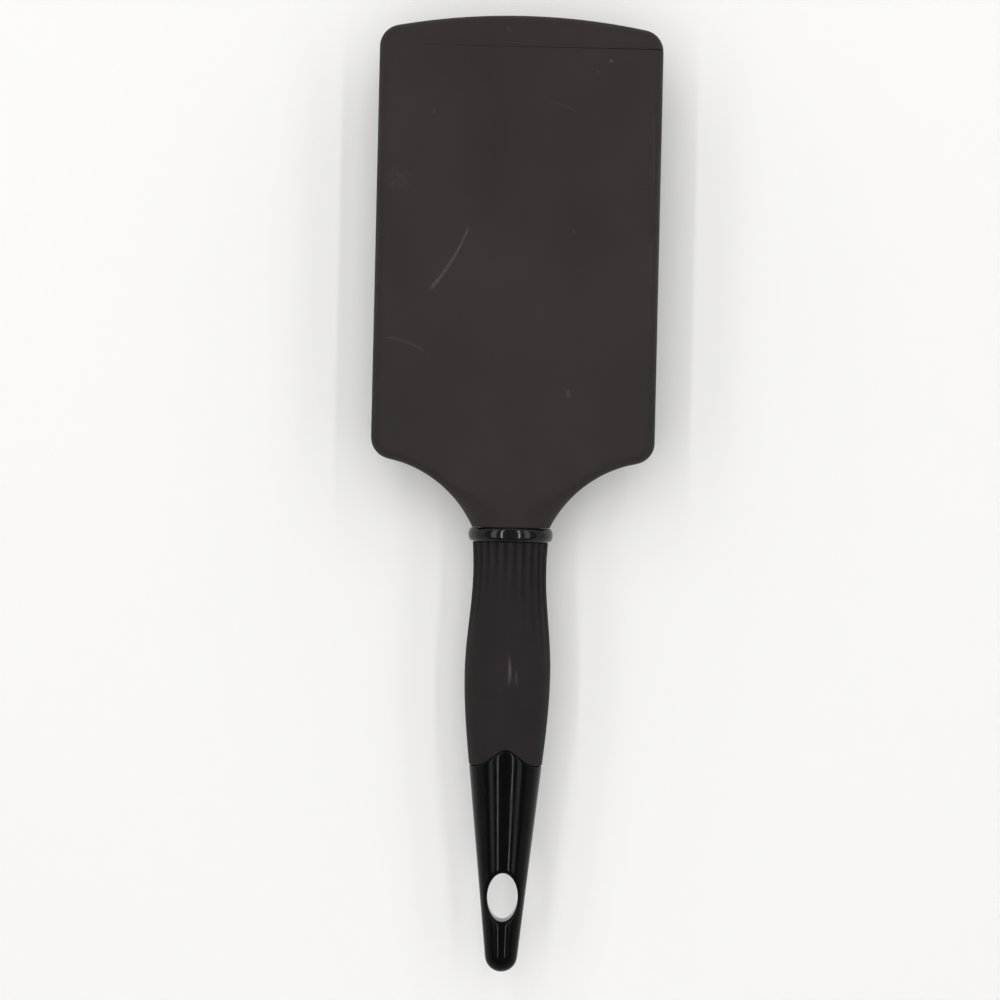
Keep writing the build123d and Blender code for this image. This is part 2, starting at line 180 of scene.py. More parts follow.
class Colours(bpy.types.PropertyGroup):
    soft_touch: colour("Soft touch", (0.0229, 0.0173, 0.0180), "Coating of the head")
    # This colour also paints the highlight streaks on the grip and the highlight along the head's rounded
    # edges.
    scuff_and_highlight: colour("Scuff", (0.07, 0.059, 0.058), "Where the coating is scratched")
    grip: colour("Grip rubber", (0.0178, 0.0142, 0.0150), "Rubber of the grip")
    gloss: colour("Gloss black", (0.0008, 0.00075, 0.0009), "Collar and tail cap")
    cushion: colour("Cushion rubber", (0.016, 0.0155, 0.016), "Rubber of the cushion")
    frame: colour("Frame", (0.013, 0.0125, 0.013), "Satin plastic of the cushion's frame")
    pins: colour("Pins", (0.010, 0.0098, 0.0105), "Nylon of the pins")
    inside: colour("Inside", (0.03, 0.03, 0.031), "Plain plastic inside the brush")
    floor: colour("Floor", (0.86, 0.855, 0.85), "The pale floor")


class StageSizes(bpy.types.PropertyGroup):
    camera_x: size("Camera across", -3.12, "Place of the camera across the brush")
    camera_y: size("Camera along", -1.29, "Place of the camera along the brush")
    camera_height: size("Camera height", 840, "Height of the camera over the floor")
    camera_turn: degrees("Camera turn", 1.306, "Turn of the camera about its own axis")
    focal_length: FloatProperty(name="Focal length", description="In millimetres", default=107.06)
    floor_radius: size("Floor radius", 1500, "Radius of the round floor")
    wall_curve: size("Wall curve", 400, "Radius in which the floor turns up into the wall")
    wall_height: size("Wall height", 900, "Height of the wall")


def ease(share):
    """Goes from 0 to 1 with a level start and end."""
    return (1 - math.cos(HALF_TURN * share)) / 2


def step_between(low, high, value):
    """Goes smoothly from 0 at low to 1 at high."""
    share = min(max((value - low) / (high - low), 0), 1)
    return share * share * (3 - 2 * share)


class Outline:
    """Half an outline, drawn point by point, with its arcs spun about their centres."""

    def __init__(self, bm, x, y, z):
        self.bm = bm
        self.last = bm.verts.new((x, y, z))

    def arc(self, centre, angle, steps):
        spun = bmesh.ops.spin(
            self.bm, geom=[self.last], cent=(*centre, self.last.co.z), axis=(0, 0, 1),
            angle=angle, steps=steps,
        )
        self.last = verts_of(spun["geom_last"])[0]

    def line(self, x, y):
        made = bmesh.ops.extrude_vert_indiv(self.bm, verts=[self.last])
        self.last = made["verts"][0]
        self.last.co = (x, y, self.last.co.z)


def mirror_across(bm, half):
    """Mirrors half a shape to the other side of the brush."""
    bmesh.ops.mirror(bm, geom=half, matrix=Matrix.Identity(4), merge_dist=MERGE, axis="X")


def drawn(bm, draw, *sizes):
    """Draws half an outline and returns its edges."""
    old = set(bm.edges)
    draw(bm, *sizes)
    return [edge for edge in bm.edges if edge not in old]


def mirrored_loop(bm, draw, *sizes):
    """Draws the right half of an outline, mirrors it and returns the closed loop's edges."""
    old = set(bm.edges)
    half = drawn(bm, draw, *sizes)
    verts = list(dict.fromkeys(vert for edge in half for vert in edge.verts))
    mirror_across(bm, verts + half)
    return [edge for edge in bm.edges if edge not in old]


def ladder(bm, rungs):
    """Draws each rung, half an outline, bridges it to the one before and mirrors the whole."""
    last = []
    for draw, *sizes in rungs:
        rung = drawn(bm, draw, *sizes)
        if last:
            bmesh.ops.bridge_loops(bm, edges=last + rung)
        last = rung
    mirror_across(bm, everything(bm))
    bmesh.ops.remove_doubles(bm, verts=bm.verts, dist=MERGE)


def rim_at(bm, z):
    """The open edges at a level."""
    return [
        edge for edge in bm.edges
        if edge.is_boundary and all(abs(vert.co.z - z) < MERGE for vert in edge.verts)
    ]


def corner_under_arc(arc_y, arc_radius, side_x, corner):
    """Centre of a corner arc that runs from a straight side into the arc over it."""
    x = side_x - corner
    return Vector((x, arc_y + math.sqrt((arc_radius - corner) ** 2 - x * x)))


class HeadPlan:
    """The centres of the arcs in the head's outline, and where its stations lie."""

    def __init__(self, head, pad):
        self.head = head
        self.pad = pad
        self.half = SHELL_HIGH.x
        self.tip_arc_y = TIP_HIGH.y - head.tip_arc
        self.tip_corner = corner_under_arc(self.tip_arc_y, head.tip_arc, self.half, head.tip_corner)
        self.low_corner = Vector((self.half - head.shoulder_corner, self.tip_corner.y - head.side_length))
        end = Vector((head.neck_half, SHELL_LOW.y))
        across = end - self.low_corner
        reach = head.shoulder_corner + head.shoulder
        along = (reach ** 2 - head.shoulder ** 2 + across.length_squared) / (2 * across.length)
        aside = math.sqrt(reach ** 2 - along ** 2)
        ahead = across.normalized()
        self.shoulder = self.low_corner + along * ahead + aside * Vector((-ahead.y, ahead.x))
        self.blend_y = SHELL_LOW.y + head.neck_blend
        self.window_low = self.low_corner.y + pad.chin
        self.window_high = TIP_HIGH.y - pad.bezel

    def shoulder_x(self, y, inset=0.0):
        """Half width of the shoulders and neck at a station."""
        radius = self.head.shoulder + inset
        return self.shoulder.x - math.sqrt(radius ** 2 - (y - self.shoulder.y) ** 2)


# Steps in the outline's arcs
TIP_STEPS = 14
CORNER_STEPS = 10
SHOULDER_STEPS = 24


def draw_head(bm, plan, inset, z):
    """Right half of the head's outline, drawn in by an inset, from the tip to the end of the neck."""
    head = plan.head
    lean = math.atan2(plan.tip_corner.x, plan.tip_corner.y - plan.tip_arc_y)
    inward = plan.shoulder - plan.low_corner
    turn = math.atan2(inward.y, inward.x)
    end_x = plan.shoulder_x(SHELL_LOW.y, inset)
    pen = Outline(bm, 0, TIP_HIGH.y - inset, z)
    pen.arc((0, plan.tip_arc_y), -lean, TIP_STEPS)
    pen.arc(plan.tip_corner, lean - QUARTER_TURN, CORNER_STEPS)
    pen.line(plan.half - inset, plan.low_corner.y)
    pen.arc(plan.low_corner, turn, CORNER_STEPS)
    end_turn = math.atan2(SHELL_LOW.y - plan.shoulder.y, end_x - plan.shoulder.x)
    pen.arc(plan.shoulder, end_turn - turn - HALF_TURN, SHOULDER_STEPS)
    pen.line(0, SHELL_LOW.y)


def draw_field(bm, plan, inset, corner, low_y, z):
    """Right half of an outline that follows the head's tip and sides, with a straight lower edge."""
    x = plan.half - inset
    radius = plan.head.tip_arc - inset
    top = corner_under_arc(plan.tip_arc_y, radius, x, corner)
    lean = math.atan2(top.x, top.y - plan.tip_arc_y)
    pen = Outline(bm, 0, plan.tip_arc_y + radius, z)
    pen.arc((0, plan.tip_arc_y), -lean, TIP_STEPS)
    pen.arc(top, lean - QUARTER_TURN, CORNER_STEPS)
    pen.line(x, low_y + corner)
    pen.arc((x - corner, low_y + corner), -QUARTER_TURN, CORNER_STEPS)
    pen.line(0, low_y)


def draw_pocket(bm, plan, inset, z):
    """Right half of the pocket in the head, which holds the frame and the cushion's flange."""
    head = plan.head
    low_y = plan.window_low - plan.pad.bezel + head.side_wall
    draw_field(bm, plan, head.side_wall + inset, head.tip_corner - head.side_wall - inset, low_y + inset, z)


def draw_window(bm, plan, inset, z):
    """Right half of the frame's window, through which the cushion stands out."""
    pad = plan.pad
    draw_field(bm, plan, pad.bezel + inset, pad.window_corner - inset, plan.window_low + inset, z)


def everything(bm):
    return bm.verts[:] + bm.edges[:] + bm.faces[:]


def edges_of(items):
    return [item for item in items if isinstance(item, bmesh.types.BMEdge)]


def verts_of(items):
    return [item for item in items if isinstance(item, bmesh.types.BMVert)]


def fill(bm, edges):
    """One face over a closed loop of edges."""
    return bmesh.ops.contextual_create(bm, geom=edges)["faces"]


def grow(bm, rim, place):
    """Extrudes an open rim once and puts each new point where place(old point) says."""
    made = bmesh.ops.extrude_edge_only(bm, edges=rim)["geom"]
    fresh = set(verts_of(made))
    for vert in fresh:
        old = next(
            edge.other_vert(vert) for edge in vert.link_edges if edge.other_vert(vert) not in fresh
        )
        vert.co = place(old)
    return [edge for edge in edges_of(made) if edge.verts[0] in fresh and edge.verts[1] in fresh]


def rounding(radius, steps):
    """Insets and rises of a quarter round, from its face to its side."""
    turns = [QUARTER_TURN * step / steps for step in range(steps + 1)]
    return [(radius * (1 - math.sin(turn)), radius * (1 - math.cos(turn))) for turn in turns]


# Steps in the rounded edges, and the width of the narrow faces that keep them crisp
BACK_STEPS = 9
FRONT_STEPS = 5
ROUND_STEPS = 5
SUPPORT = 0.0003


def head_block(bm, plan):
    """The head as one closed block with rounded edges."""
    head = plan.head
    low, high = RING_LOW.z, SHELL_HIGH.z
    rungs = [(draw_head, plan, head.front_round + SUPPORT, low)]
    for inset, rise in rounding(head.front_round, FRONT_STEPS):
        rungs.append((draw_head, plan, inset, low + rise))
    for inset, rise in reversed(rounding(head.back_round, BACK_STEPS)):
        rungs.append((draw_head, plan, inset, high - rise))
    rungs.append((draw_head, plan, head.back_round + SUPPORT, high))
    ladder(bm, rungs)
    fill(bm, rim_at(bm, low))
    fill(bm, rim_at(bm, high))
    bmesh.ops.recalc_face_normals(bm, faces=bm.faces)


class NeckSection:
    """The neck's section at a station, walked by quarters from its middle to its side."""

    def __init__(self, plan, y, oval_ratio):
        head = plan.head
        blend = ease((plan.blend_y - y) / head.neck_blend)
        self.half = plan.shoulder_x(y)
        oval = head.neck_half * oval_ratio
        start_half = plan.shoulder_x(plan.blend_y)

        def mixed(start, end):
            return start * (1 - blend) + end * blend

        self.quarters = {}
        for up, level, rounding in (
            (True, SHELL_HIGH.z - HANDLE_Z, head.back_round),
            (False, HANDLE_Z - RING_LOW.z, head.front_round),
        ):
            run = mixed(start_half - plan.shoulder_x(plan.blend_y, rounding), self.half - head.neck_flat)
            drop = mixed(rounding, oval - head.neck_flat)
            reach = mixed(level, oval)
            flat = self.half - run
            curve = QUARTER_TURN * math.hypot(run, drop) / math.sqrt(2)
            wall = reach - drop
            # this quarter's runs, and the levels between them
            self.quarters[up] = (flat, run, drop, reach, curve, wall)

    def share(self, x, z):
        """How far along its quarter a point of the section lies, from 0 at the middle to 1 at the side."""
        flat, run, drop, reach, curve, wall = self.quarters[z >= 0]
        x = abs(x)
        z = abs(z)
        if z <= wall:
            along = flat + curve + wall - z
        elif x > flat:
            angle = math.atan2((z - wall) / drop, (x - flat) / run)
            along = flat + curve * (1 - angle / QUARTER_TURN)
        else:
            along = x
        return along / (flat + curve + wall)

    def point(self, side, up, share):
        """The point at that share of the quarter on one side, -1 or 1, of the back or the front."""
        flat, run, drop, reach, curve, wall = self.quarters[up]
        along = share * (flat + curve + wall)
        if along <= flat:
            x, z = along, reach
        elif along <= flat + curve:
            angle = QUARTER_TURN * (1 - (along - flat) / curve)
            x, z = flat + run * math.cos(angle), wall + drop * math.sin(angle)
        else:
            x, z = self.half, wall - (along - flat - curve)
        return x * side, z if up else -z


# Steps along the neck, and the distance between the points round it
NECK_STEPS = 16
NECK_SPACING = 0.0013


def bar_reach(angle, width, depth):
    """From the middle of a bar with slightly rounded corners to its face, at an angle."""
    sharpness = 8  # 2 is an oval, and more comes nearer to a plain rectangle
    across = abs(math.cos(angle)) / (width / 2)
    up = abs(math.sin(angle)) / (depth / 2)
    return (across ** sharpness + up ** sharpness) ** (-1 / sharpness)


def add_neck(bm, plan, oval_ratio):
    """Cuts the block at the shoulders, turns its section into the collar's oval, and sinks the socket."""
    head = plan.head
    cut = bmesh.ops.bisect_plane(
        bm, geom=everything(bm), dist=MERGE, plane_co=(0, plan.blend_y, 0), plane_no=(0, 1, 0),
        clear_inner=True,
    )
    for edge in edges_of(cut["geom_cut"]):
        cuts = int(edge.calc_length() / NECK_SPACING)
        if cuts:
            bmesh.ops.subdivide_edges(bm, edges=[edge], cuts=cuts)
    rim = [edge for edge in bm.edges if edge.is_boundary]
    start = NeckSection(plan, plan.blend_y, oval_ratio)
    place = bm.verts.layers.float_vector.new("place")
    for vert in {vert for edge in rim for vert in edge.verts}:
        x, z = vert.co.x, vert.co.z - HANDLE_Z
        vert[place] = (math.copysign(1, x), 1 if z >= 0 else 0, start.share(x, z))
    end_y = SHELL_LOW.y + head.neck_edge

    def on_section(section, y):
        def place_on(old):
            side, up, share = old[place]
            x, z = section.point(side, up > 0.5, share)
            return x, y, z + HANDLE_Z
        return place_on

    for step in range(1, NECK_STEPS + 1):
        y = plan.blend_y + (end_y - plan.blend_y) * step / NECK_STEPS
        rim = grow(bm, rim, on_section(NeckSection(plan, y, oval_ratio), y))
    for turn in (QUARTER_TURN / 3, QUARTER_TURN * 2 / 3, QUARTER_TURN):
        inset = head.neck_edge * (1 - math.cos(turn))
        y = end_y - head.neck_edge * math.sin(turn)
        section = NeckSection(plan, end_y, oval_ratio)
        rim = grow(bm, rim, shrunk(on_section(section, y), inset))
    rim = grow(bm, rim, bar_place(SHELL_LOW.y, head.tang_width, head.tang_depth))
    rim = grow(bm, rim, lambda old: (old.co.x, SHELL_LOW.y + head.tang_length, old.co.z))
    fill(bm, rim)


def shrunk(place_on, inset):
    """The same places, drawn in towards the handle's axis."""
    def place(old):
        x, y, z = place_on(old)
        reach = math.hypot(x, z - HANDLE_Z)
        keep = 1 - inset / reach
        return x * keep, y, HANDLE_Z + (z - HANDLE_Z) * keep
    return place


def bar_place(y, width, depth):
    """Places on the outline of a bar about the handle's axis, for the mouth of a socket."""
    def place(old):
        angle = math.atan2(old.co.z - HANDLE_Z, old.co.x)
        reach = bar_reach(angle, width, depth)
        return reach * math.cos(angle), y, HANDLE_Z + reach * math.sin(angle)
    return place


def open_pocket(bm, plan):
    """Sinks the pocket for the cushion into the front of the head."""
    level = RING_LOW.z
    front = max(
        (face for face in bm.faces if abs(face.calc_center_median().z - level) < MERGE * 10),
        key=lambda face: face.calc_area(),
    )
    bmesh.ops.delete(bm, geom=[front], context="FACES_ONLY")
    outer = [edge for edge in bm.edges if edge.is_boundary]
    inner = mirrored_loop(bm, draw_pocket, plan, 0, level)
    bmesh.ops.triangle_fill(bm, use_beauty=True, edges=outer + inner)
    ceiling = SHELL_HIGH.z - plan.head.back_wall
    fill(bm, grow(bm, inner, lambda old: (old.co.x, old.co.y, ceiling)))


# Where the tip seam has died out and where it is whole, across the brush
SEAM_FADE = (-0.031, -0.023)


def cut_at_seam(bm, plan, forward):
    """Cuts the head at the tip seam, chamfers the cut's outer edge and closes it.
    The chamfer and the gap die out towards the left side, where the coating has run into the seam."""
    head = plan.head
    way = 1 if forward else -1
    face_y = SHELL_HIGH.y + (head.seam_gap if forward else 0)
    cut_y = face_y + way * head.seam_chamfer
    bmesh.ops.bisect_plane(
        bm, geom=everything(bm), dist=MERGE, plane_co=(0, cut_y, 0), plane_no=(0, way, 0),
        clear_inner=True,
    )
    middle_low = Vector((-plan.half + head.back_round, RING_LOW.z + head.front_round))
    middle_high = Vector((plan.half - head.back_round, SHELL_HIGH.z - head.back_round))
    outside = 0.8 * head.front_round  # further out than this lies the rounded skin

    def place(old):
        x, z = old.co.x, old.co.z
        near_x = min(max(x, middle_low.x), middle_high.x)
        near_z = min(max(z, middle_low.y), middle_high.y)
        outward = Vector((x - near_x, z - near_z))
        open_share = step_between(*SEAM_FADE, x)
        y = face_y
        if outward.length > outside and z > RING_LOW.z + head.front_round:
            y -= way * (1 - open_share) * head.seam_gap / 2
            inward = outward.normalized() * head.seam_chamfer * open_share
            return x - inward.x, y, z - inward.y
        return x, y, z

    rim = [edge for edge in bm.edges if edge.is_boundary]
    fill(bm, grow(bm, rim, place))


def rolled(bm, around, rows, place):
    """A grid rolled into a tube, with each point where place(column, row) says."""
    bmesh.ops.create_grid(bm, x_segments=around, y_segments=rows, size=0.5)
    for vert in bm.verts:
        column = round((vert.co.x + 0.5) * around)
        row = round((vert.co.y + 0.5) * rows)
        vert.co = place(column % around, row)
    bmesh.ops.remove_doubles(bm, verts=bm.verts, dist=MERGE)


def on_oval(reach, turn, y, oval):
    """A point of the handle at a station, turned from its side over its back, on its oval section."""
    return reach * math.cos(turn), y, HANDLE_Z + reach * oval * math.sin(turn)


def linked(name, data):
    """A new object in the scene."""
    made = bpy.data.objects.new(name, data)
    bpy.context.scene.collection.objects.link(made)
    return made


def as_object(bm, name, material):
    """Turns a mesh into a smooth object with one material."""
    for face in bm.faces:
        face.smooth = True
    mesh = bpy.data.meshes.new(name)
    bm.to_mesh(mesh)
    bm.free()
    mesh.materials.append(material)
    return linked(name, mesh)


def finish_piece(bm, name, material, body, replaces, sharp=SHARP_ANGLE):
    """Turns a mesh into a piece of the brush that stands for its CAD nodes."""
    bmesh.ops.recalc_face_normals(bm, faces=bm.faces)
    piece = as_object(bm, name, material)
    piece.data.set_sharp_from_angle(angle=sharp)
    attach(piece, body)
    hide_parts(*replaces)
    return piece


def adds(operation, swapped=False):
    """An operator of Number, which adds a Math node."""
    def write(first, second=0.0):
        return first.math(operation, *((second, first) if swapped else (first, second)))
    return write


class Number:
    """A number in a node tree. Sums written with it add Math nodes."""

    def __init__(self, tree, socket):
        self.tree = tree
        self.socket = socket

    def math(self, operation, first, second, clamp=False):
        settings = {"operation": operation, "use_clamp": clamp}
        return self.tree.node("ShaderNodeMath", settings, {0: first, 1: second})

    def clamped(self):
        return self.math("ADD", self, 0.0, clamp=True)

    __add__ = __radd__ = adds("ADD")
    __sub__ = adds("SUBTRACT")
    __rsub__ = adds("SUBTRACT", swapped=True)
    __mul__ = __rmul__ = adds("MULTIPLY")
    __truediv__ = adds("DIVIDE")
    __pow__ = adds("POWER")
    __abs__ = adds("ABSOLUTE")
    most = adds("MAXIMUM")


class Tree:
    """A node tree that is being written."""

    def __init__(self, owner):
        owner.use_nodes = True
        self.nodes = owner.node_tree.nodes
        self.links = owner.node_tree.links

    def node(self, kind, settings=None, inputs=None, output=0):
        """Adds a node, sets it up, feeds its sockets and returns one of its outputs."""
        made = self.nodes.new(kind)
        for key, value in (settings or {}).items():
            setattr(made, key, value)
        self.feed(made, inputs or {})
        return Number(self, made.outputs[output])

    def feed(self, node, inputs):
        """Gives a node's sockets their links and plain values."""
        for key, value in inputs.items():
            if isinstance(value, Number):
                self.links.new(value.socket, node.inputs[key])
            else:
                node.inputs[key].default_value = value

    def smooth(self, value, low, high, start=0.0, end=1.0):
        """Goes smoothly from start to end as value goes from low to high."""
        inputs = {"Value": value, "From Min": low, "From Max": high, "To Min": start, "To Max": end}
        return self.node("ShaderNodeMapRange", {"interpolation_type": "SMOOTHSTEP"}, inputs)

    def mix(self, factor, first, second):
        """A colour between two colours."""
        inputs = {0: factor, 6: as_colour(first), 7: as_colour(second)}
        return self.node("ShaderNodeMix", {"data_type": "RGBA"}, inputs, output=2)

    def bump(self, height, distance, strength, normal=None):
        """The surface's direction over a relief, its full height given in metres."""
        inputs = {"Height": height, "Distance": distance, "Strength": strength}
        if normal is not None:
            inputs["Normal"] = normal
        return self.node("ShaderNodeBump", inputs=inputs)


def as_colour(value):
    return value if isinstance(value, Number) else (*value, 1.0)


class Finish(Tree):
    """A material that is being written, on one Principled shader, with patterns in the brush's frame."""

    def __init__(self, name):
        self.material = bpy.data.materials.new(name)
        super().__init__(self.material)
        self.shader = self.nodes["Principled BSDF"]
        self.place = self.node("ShaderNodeTexCoord", output="Object")
        self.colours = bpy.context.scene.brush_colours

    def parts(self):
        """The three numbers of the place on the piece."""
        outputs = self.node("ShaderNodeSeparateXYZ", inputs={0: self.place}).socket.node.outputs
        return [Number(self, output) for output in outputs]

    def noise(self, scale, detail, roughness, along=None):
        """Noise at so many lumps a metre. A factor along the brush below 1 stretches it."""
        place = self.place
        if along:
            factors = {0: place, 1: (1.0, along, 1.0)}
            place = self.node("ShaderNodeVectorMath", {"operation": "MULTIPLY"}, factors)
        inputs = {"Vector": place, "Scale": scale, "Detail": detail, "Roughness": roughness}
        return self.node("ShaderNodeTexNoise", inputs=inputs)

    def set(self, **inputs):
        """Feeds the shader's sockets, named in small letters, and returns the material."""
        names = {key.replace("_", " ").title(): value for key, value in inputs.items()}
        names = {key.replace("Ior", "IOR"): value for key, value in names.items()}
        self.feed(self.shader, names)
        return self.material


def kept(name, write):
    """The material of that name, written once."""
    return bpy.data.materials.get(name) or write(Finish(name))


def lighter(value, factor):
    return tuple(channel * factor for channel in value)


def mark(finish, across, along, start, end, width, soft, bow, thicken, whole):
    """A line from start to end, in millimetres on the brush, which may bow or thicken: a worn scratch on
    the back, or a painted highlight streak on the grip.
    It fades out at both ends, beyond the share of its length that is whole."""
    start = Vector(start) / 1000
    run = Vector(end) / 1000 - start
    length = run.length
    ahead = run / length
    x = across - start.x
    y = along - start.y
    share = (x * ahead.x + y * ahead.y) / length
    aside = y * ahead.x - x * ahead.y
    bowed = aside - share * (1 - share) * (4 * bow / 1000)
    half = share * (thicken / 1000) + width / 1000
    inside = finish.smooth(abs(bowed) - half, 0.0, soft / 1000, 1.0, 0.0)
    ends = finish.smooth(abs(share - 0.5), whole / 2, 0.52, 1.0, 0.0)
    return inside * ends


def marks(finish, across, along, lines, whole):
    """The strongest of some lines at each point: worn scratches, or painted highlight streaks."""
    first, *others = [mark(finish, across, along, *line, whole) * strength for *line, strength in lines]
    for other in others:
        first = first.most(other)
    return first


def spot(finish, across, along, centre, radius, soft):
    """A worn spot on the back."""
    x = across - centre[0] / 1000
    y = along - centre[1] / 1000
    distance = (x * x + y * y) ** 0.5
    return finish.smooth(distance, radius / 1000, (radius + soft) / 1000, 1.0, 0.0)


# Each scratch on the back: its start and end, half width, soft edge, bow, thickening and strength
SCRATCHES = (
    ((-13.1, 72.8), (-23.4, 55.3), 0.1, 0.35, 0.85, 0.24, 0.65),
    ((-35.4, 42.2), (-24.6, 38.6), 0.12, 0.4, 0.75, 0.05, 0.27),
    ((14.6, 29.1), (14.8, 26.9), 0.3, 0.3, 0.0, 0.1, 0.45),
    ((7.7, 107.1), (14.5, 105.0), 0.05, 0.2, 0.2, 0.0, 0.32),
    ((36.2, 104.8), (36.7, 85.0), 0.05, 0.3, 0.0, 0.0, 0.22),
    ((36.1, 70.1), (36.3, 57.9), 0.05, 0.3, 0.0, 0.0, 0.18),
)
SCRATCH_WHOLE = 0.84

# Each worn spot on the back: its centre, radius, soft edge and strength
SPOTS = (
    ((24.3, 118.3), 0.16, 0.4, 0.9),
    ((20.8, 115.4), 0.25, 0.4, 0.2),
    ((-23.3, 103.6), 0.25, 0.4, 0.28),
    ((15.3, 71.9), 0.3, 0.4, 0.2),
    ((-3.7, 126.3), 0.3, 0.4, 0.25),
)

# A larger smudge: its centre, radius, soft edge and strength
SMUDGE = ((-32.5, 85.3), 1.4, 3.2, 0.26)

# The margins in metres in which wear fades in: marks towards the level of the back, and chips
# towards the head's sides and up its rounded edge, where they also paint a highlight
BACK_WEAR = (0.0008, 0.0002)
CHIPS_AND_HIGHLIGHT_IN = (0.0012, 0.0003)
CHIPS_AND_HIGHLIGHT_DOWN = (0.003, 0.002)

# Each painted highlight streak on the grip's belly, as the scratches are given. They fade from their
# middles.
HIGHLIGHT_STREAKS = (
    ((0.1, -42.6), (0.3, -52.2), 0.05, 0.5, 0.4, 0.15, 0.9),
    ((2.4, -46.6), (2.4, -52.4), 0.05, 0.5, 0.0, 0.0, 0.4),
)
HIGHLIGHT_STREAK_WHOLE = 0.1
HIGHLIGHT_STREAK_RISE = 0.003


def up_to(finish, value, edge, margins):
    """Fades in as a value nears an edge, from one margin before it to a smaller one."""
    return finish.smooth(value, edge - margins[0], edge - margins[1])


def soft_touch(finish):
    """Charcoal soft-touch coating, a little cloudy, with the wear of a used brush, and a painted highlight
    along its rounded edges, broken up as chips.
    """
    coating = finish.colours.soft_touch
    x, y, z = finish.parts()
    cloud = finish.noise(26.0, 3.0, 0.55)
    grain = finish.noise(5200.0, 1.0, 0.5)
    fine = finish.noise(900.0, 2.0, 0.6)
    *smudge, strength = SMUDGE
    worn = finish.smooth(fine, 0.35, 0.7) * spot(finish, x, y, *smudge) * strength
    worn = worn.most(marks(finish, x, y, SCRATCHES, SCRATCH_WHOLE))
    worn = worn * (finish.smooth(finish.noise(1900.0, 2.0, 0.6), 0.35, 0.62) * 0.45 + 0.55)
    for *place, strength in SPOTS:
        worn = worn.most(spot(finish, x, y, *place) * strength)
    worn = worn * up_to(finish, z, SHELL_HIGH.z, BACK_WEAR)
    # Worn chips that also paint the highlight which the rounded edges catch, along both sides of the head.
    chips_and_edge_highlight = finish.smooth(finish.noise(160.0, 3.0, 0.6, along=0.25), 0.5, 0.62)
    chips_and_edge_highlight = chips_and_edge_highlight * up_to(finish, abs(x), SHELL_HIGH.x, CHIPS_AND_HIGHLIGHT_IN)
    chips_and_edge_highlight = chips_and_edge_highlight * up_to(finish, z, SHELL_HIGH.z, CHIPS_AND_HIGHLIGHT_DOWN)
    worn = worn.most(chips_and_edge_highlight * 0.3).clamped()
    streaked = finish.smooth(finish.noise(38.0, 2.0, 0.5, along=0.45), 0.5, 0.75)
    tone = finish.mix(finish.smooth(cloud, 0.3, 0.7), coating, lighter(coating, 1.16))
    tone = finish.mix(streaked * 0.35, tone, lighter(coating, 0.86))
    tone = finish.mix(worn, tone, finish.colours.scuff_and_highlight)
    normal = finish.bump(grain * 0.5 + fine * 0.5, 0.00002, 0.25)
    normal = finish.bump(1 - worn, 0.00006, 0.5, normal)
    rough = 0.66 + streaked * 0.06 - cloud * 0.04 - worn * 0.08
    return finish.set(base_color=tone, roughness=rough, normal=normal, specular_ior_level=0.2)


def grip_rubber(finish):
    """Matte rubber with a fine grain, with painted shade down in the flutes and painted highlight streaks
    on its belly.
    """
    rubber = finish.colours.grip
    groove = finish.node("ShaderNodeAttribute", {"attribute_name": "groove"}, output="Fac")
    cloud = finish.noise(70.0, 3.0, 0.55)
    grain = finish.noise(3800.0, 2.0, 0.6)
    tone = finish.mix(finish.smooth(cloud, 0.3, 0.7), lighter(rubber, 0.92), lighter(rubber, 1.12))
    # Painted shade: each flute's depth darkens the rubber, standing in for the shade that falls in the
    # flutes.
    tone = finish.mix(groove * 0.75, tone, lighter(rubber, 0.3))
    x, y, z = finish.parts()
    # Painted highlights: lighter streaks on the upper side of the belly, where the lamps shine on it.
    streaked = marks(finish, x, y, HIGHLIGHT_STREAKS, HIGHLIGHT_STREAK_WHOLE)
    streaked = streaked * finish.smooth(z, HANDLE_Z, HANDLE_Z + HIGHLIGHT_STREAK_RISE)
    tone = finish.mix(streaked, tone, finish.colours.scuff_and_highlight)
    normal = finish.bump(grain, 0.00003, 0.35)
    rough = 0.66 + cloud * 0.08 + groove * 0.1
    return finish.set(base_color=tone, roughness=rough, normal=normal, specular_ior_level=0.15)


def collar_black(finish):
    """Gloss black of the collar, which shows the lamps more than the cap does."""
    return gloss_black(finish, 0.45)


def cap_black(finish):
    """Gloss black of the tail cap."""
    return gloss_black(finish, 0.15)


def gloss_black(finish, shine):
    """Moulded gloss black with hairline scratches and a little dust."""
    hairs = finish.noise(2600.0, 2.0, 0.6, along=0.08)
    dust = finish.smooth(finish.noise(2100.0, 1.0, 0.5), 0.72, 0.78)
    film = finish.noise(140.0, 3.0, 0.55)
    flow = finish.noise(55.0, 1.0, 0.4, along=0.3)
    tone = finish.mix(dust * 0.5, finish.colours.gloss, (0.03, 0.03, 0.032))
    normal = finish.bump(flow, 0.00022, 0.35)
    normal = finish.bump(hairs, 0.000008, 0.25, normal)
    rough = 0.085 + finish.smooth(film, 0.35, 0.75) * 0.07 + dust * 0.3
    return finish.set(base_color=tone, roughness=rough, normal=normal, specular_ior_level=shine)


def satin_plastic(finish):
    """Fine-textured satin plastic of the cushion's frame."""
    plastic = finish.colours.frame
    texture = finish.noise(3000.0, 3.0, 0.65)
    cloud = finish.noise(60.0, 2.0, 0.5)
    tone = finish.mix(cloud, lighter(plastic, 0.85), lighter(plastic, 1.15))
    normal = finish.bump(texture, 0.00004, 0.4)
    return finish.set(base_color=tone, roughness=0.4 + cloud * 0.1, normal=normal)


